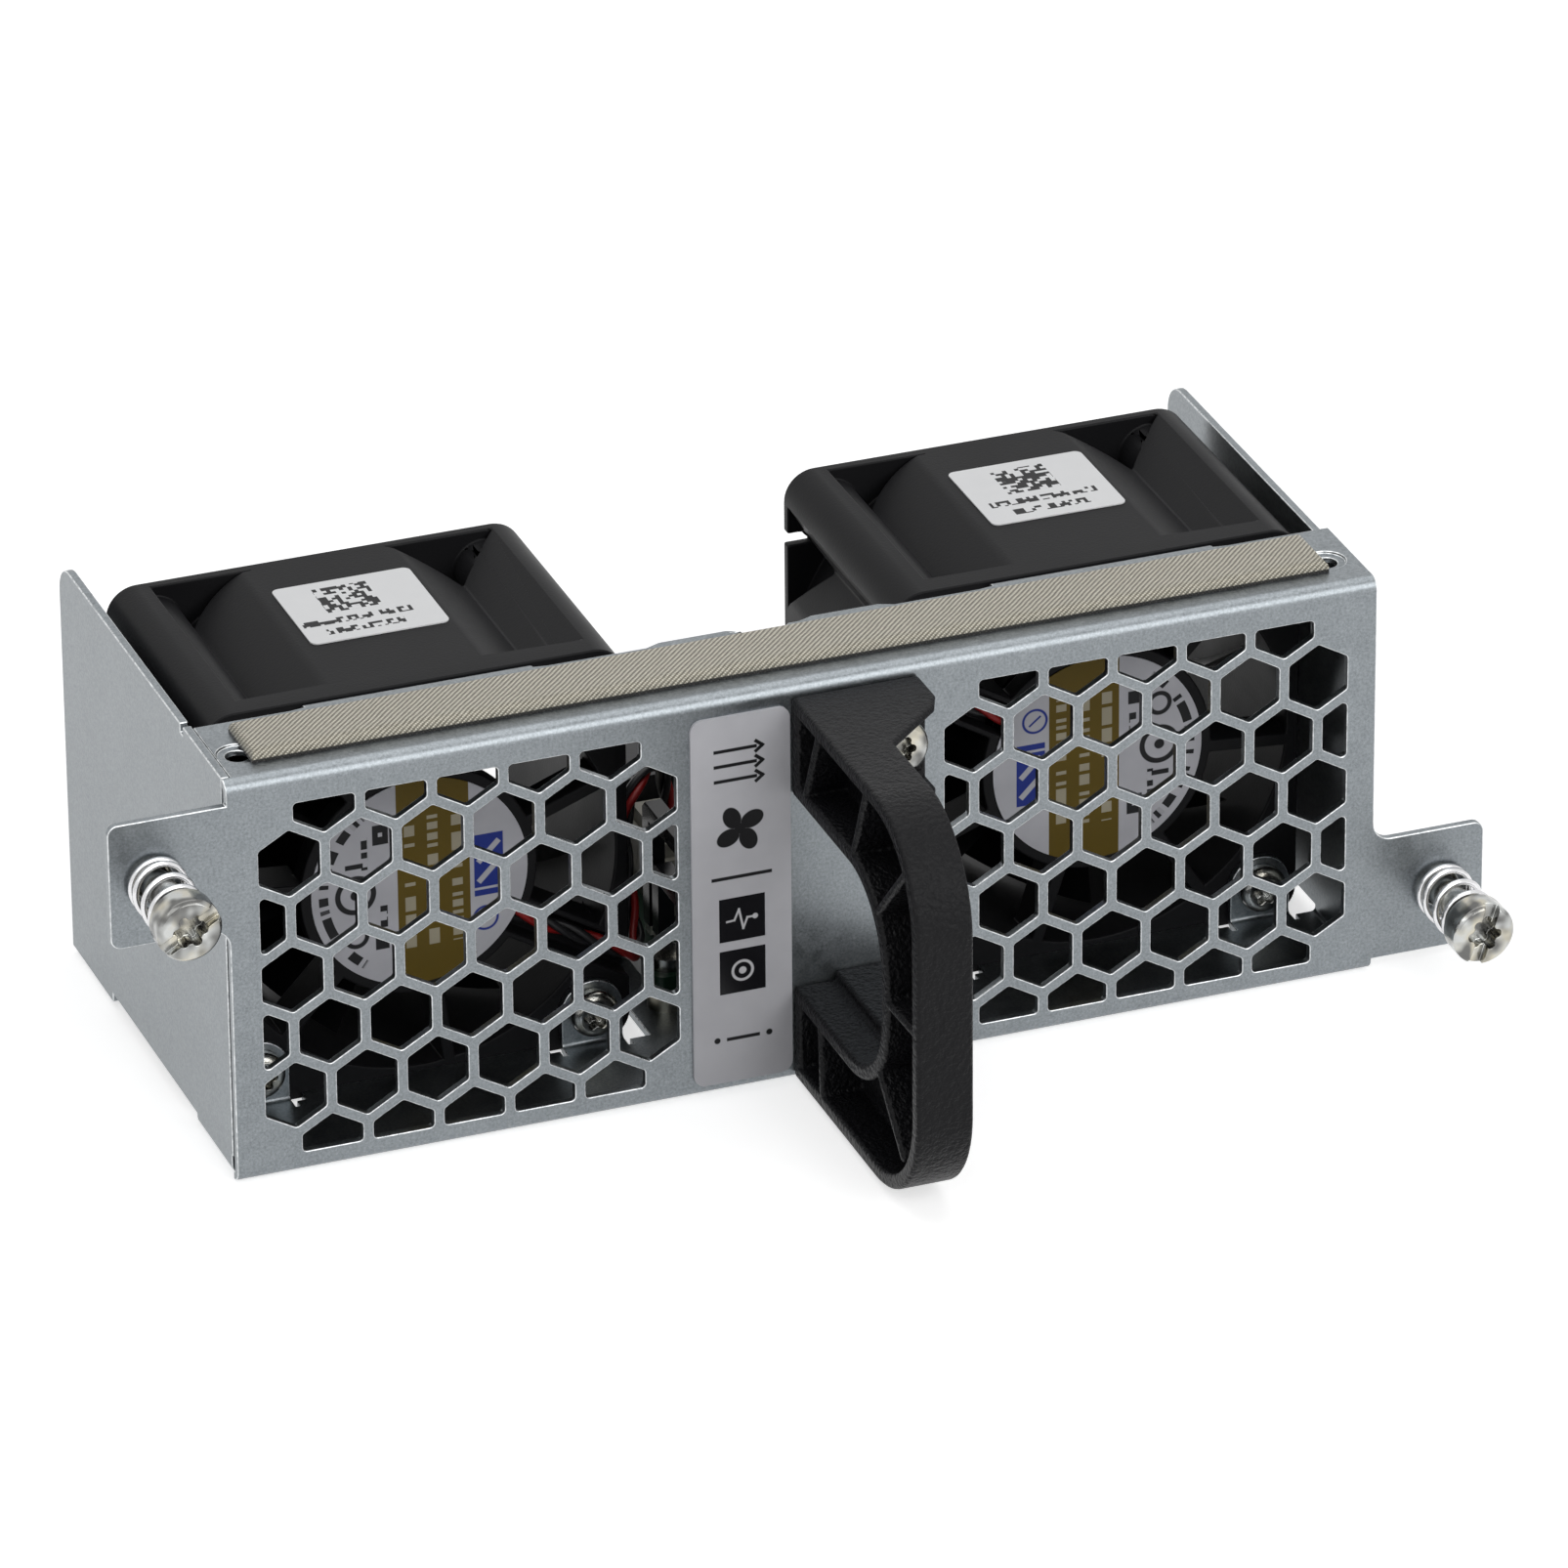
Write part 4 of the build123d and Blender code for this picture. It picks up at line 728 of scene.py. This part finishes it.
def route_line(side):
    """Points along the smooth line of the route."""
    curve = bpy.data.curves.new(f"{side}_lead_line", "CURVE")
    curve.dimensions = "3D"
    curve.resolution_u = 16
    spline = curve.splines.new("NURBS")
    route = lead_routes[side]
    spline.points.add(len(route) - 1)
    for point, place in zip(spline.points, route):
        point.co = (*place, 1.0)
    spline.order_u = 3
    spline.use_endpoint_u = True
    line = bpy.data.objects.new(curve.name, curve)
    mesh = bpy.data.meshes.new_from_object(line)
    points = [vertex.co.copy() for vertex in mesh.vertices]
    bpy.data.meshes.remove(mesh)
    bpy.data.objects.remove(line)
    bpy.data.curves.remove(curve)
    return points


def stations_along(points):
    """Each point of a line with two directions square to the line, and the length up to it."""
    across = (points[1] - points[0]).cross(Vector((0, 1, 0))).normalized()
    stations = []
    travelled = 0.0
    for index, point in enumerate(points):
        before = points[max(index - 1, 0)]
        onward = points[min(index + 1, len(points) - 1)]
        travelled += (point - before).length
        along = (onward - before).normalized()
        across = (across - across.dot(along) * along).normalized()
        stations.append((point, across, along.cross(across), travelled))
    return stations


def wires(side):
    """Strands wound about the route, joined into one piece."""
    points = route_line(side)
    stations = stations_along(points)
    bpy.ops.object.select_all(action="DESELECT")
    for strand, finish in enumerate(strand_finishes):
        curve = bpy.data.curves.new(f"{side}_wire_{strand}", "CURVE")
        curve.dimensions = "3D"
        curve.bevel_depth = wire_radius
        curve.bevel_resolution = 3
        curve.use_fill_caps = True
        spline = curve.splines.new("POLY")
        spline.points.add(len(stations) - 1)
        for point, (middle, first, second, travelled) in zip(spline.points, stations):
            turn = full_turn * (strand / len(strand_finishes) + travelled / twist_pitch)
            offset = winding_radius * (math.cos(turn) * first + math.sin(turn) * second)
            point.co = (*(middle + offset), 1.0)
        curve.materials.append(looks[finish].material)
        wire = bpy.data.objects.new(curve.name, curve)
        bpy.context.scene.collection.objects.link(wire)
        wire.select_set(True)
        if strand == 0:
            bpy.context.view_layer.objects.active = wire
    bpy.ops.object.convert(target="MESH")
    bpy.ops.object.join()
    leads = bpy.context.object
    leads.name = f"{side}_lead_wires"
    bpy.ops.object.shade_smooth_by_angle(angle=round_angle)
    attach(leads, "tray")
    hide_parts(f"{side}_fan_leads")


wires("left")
wires("right")
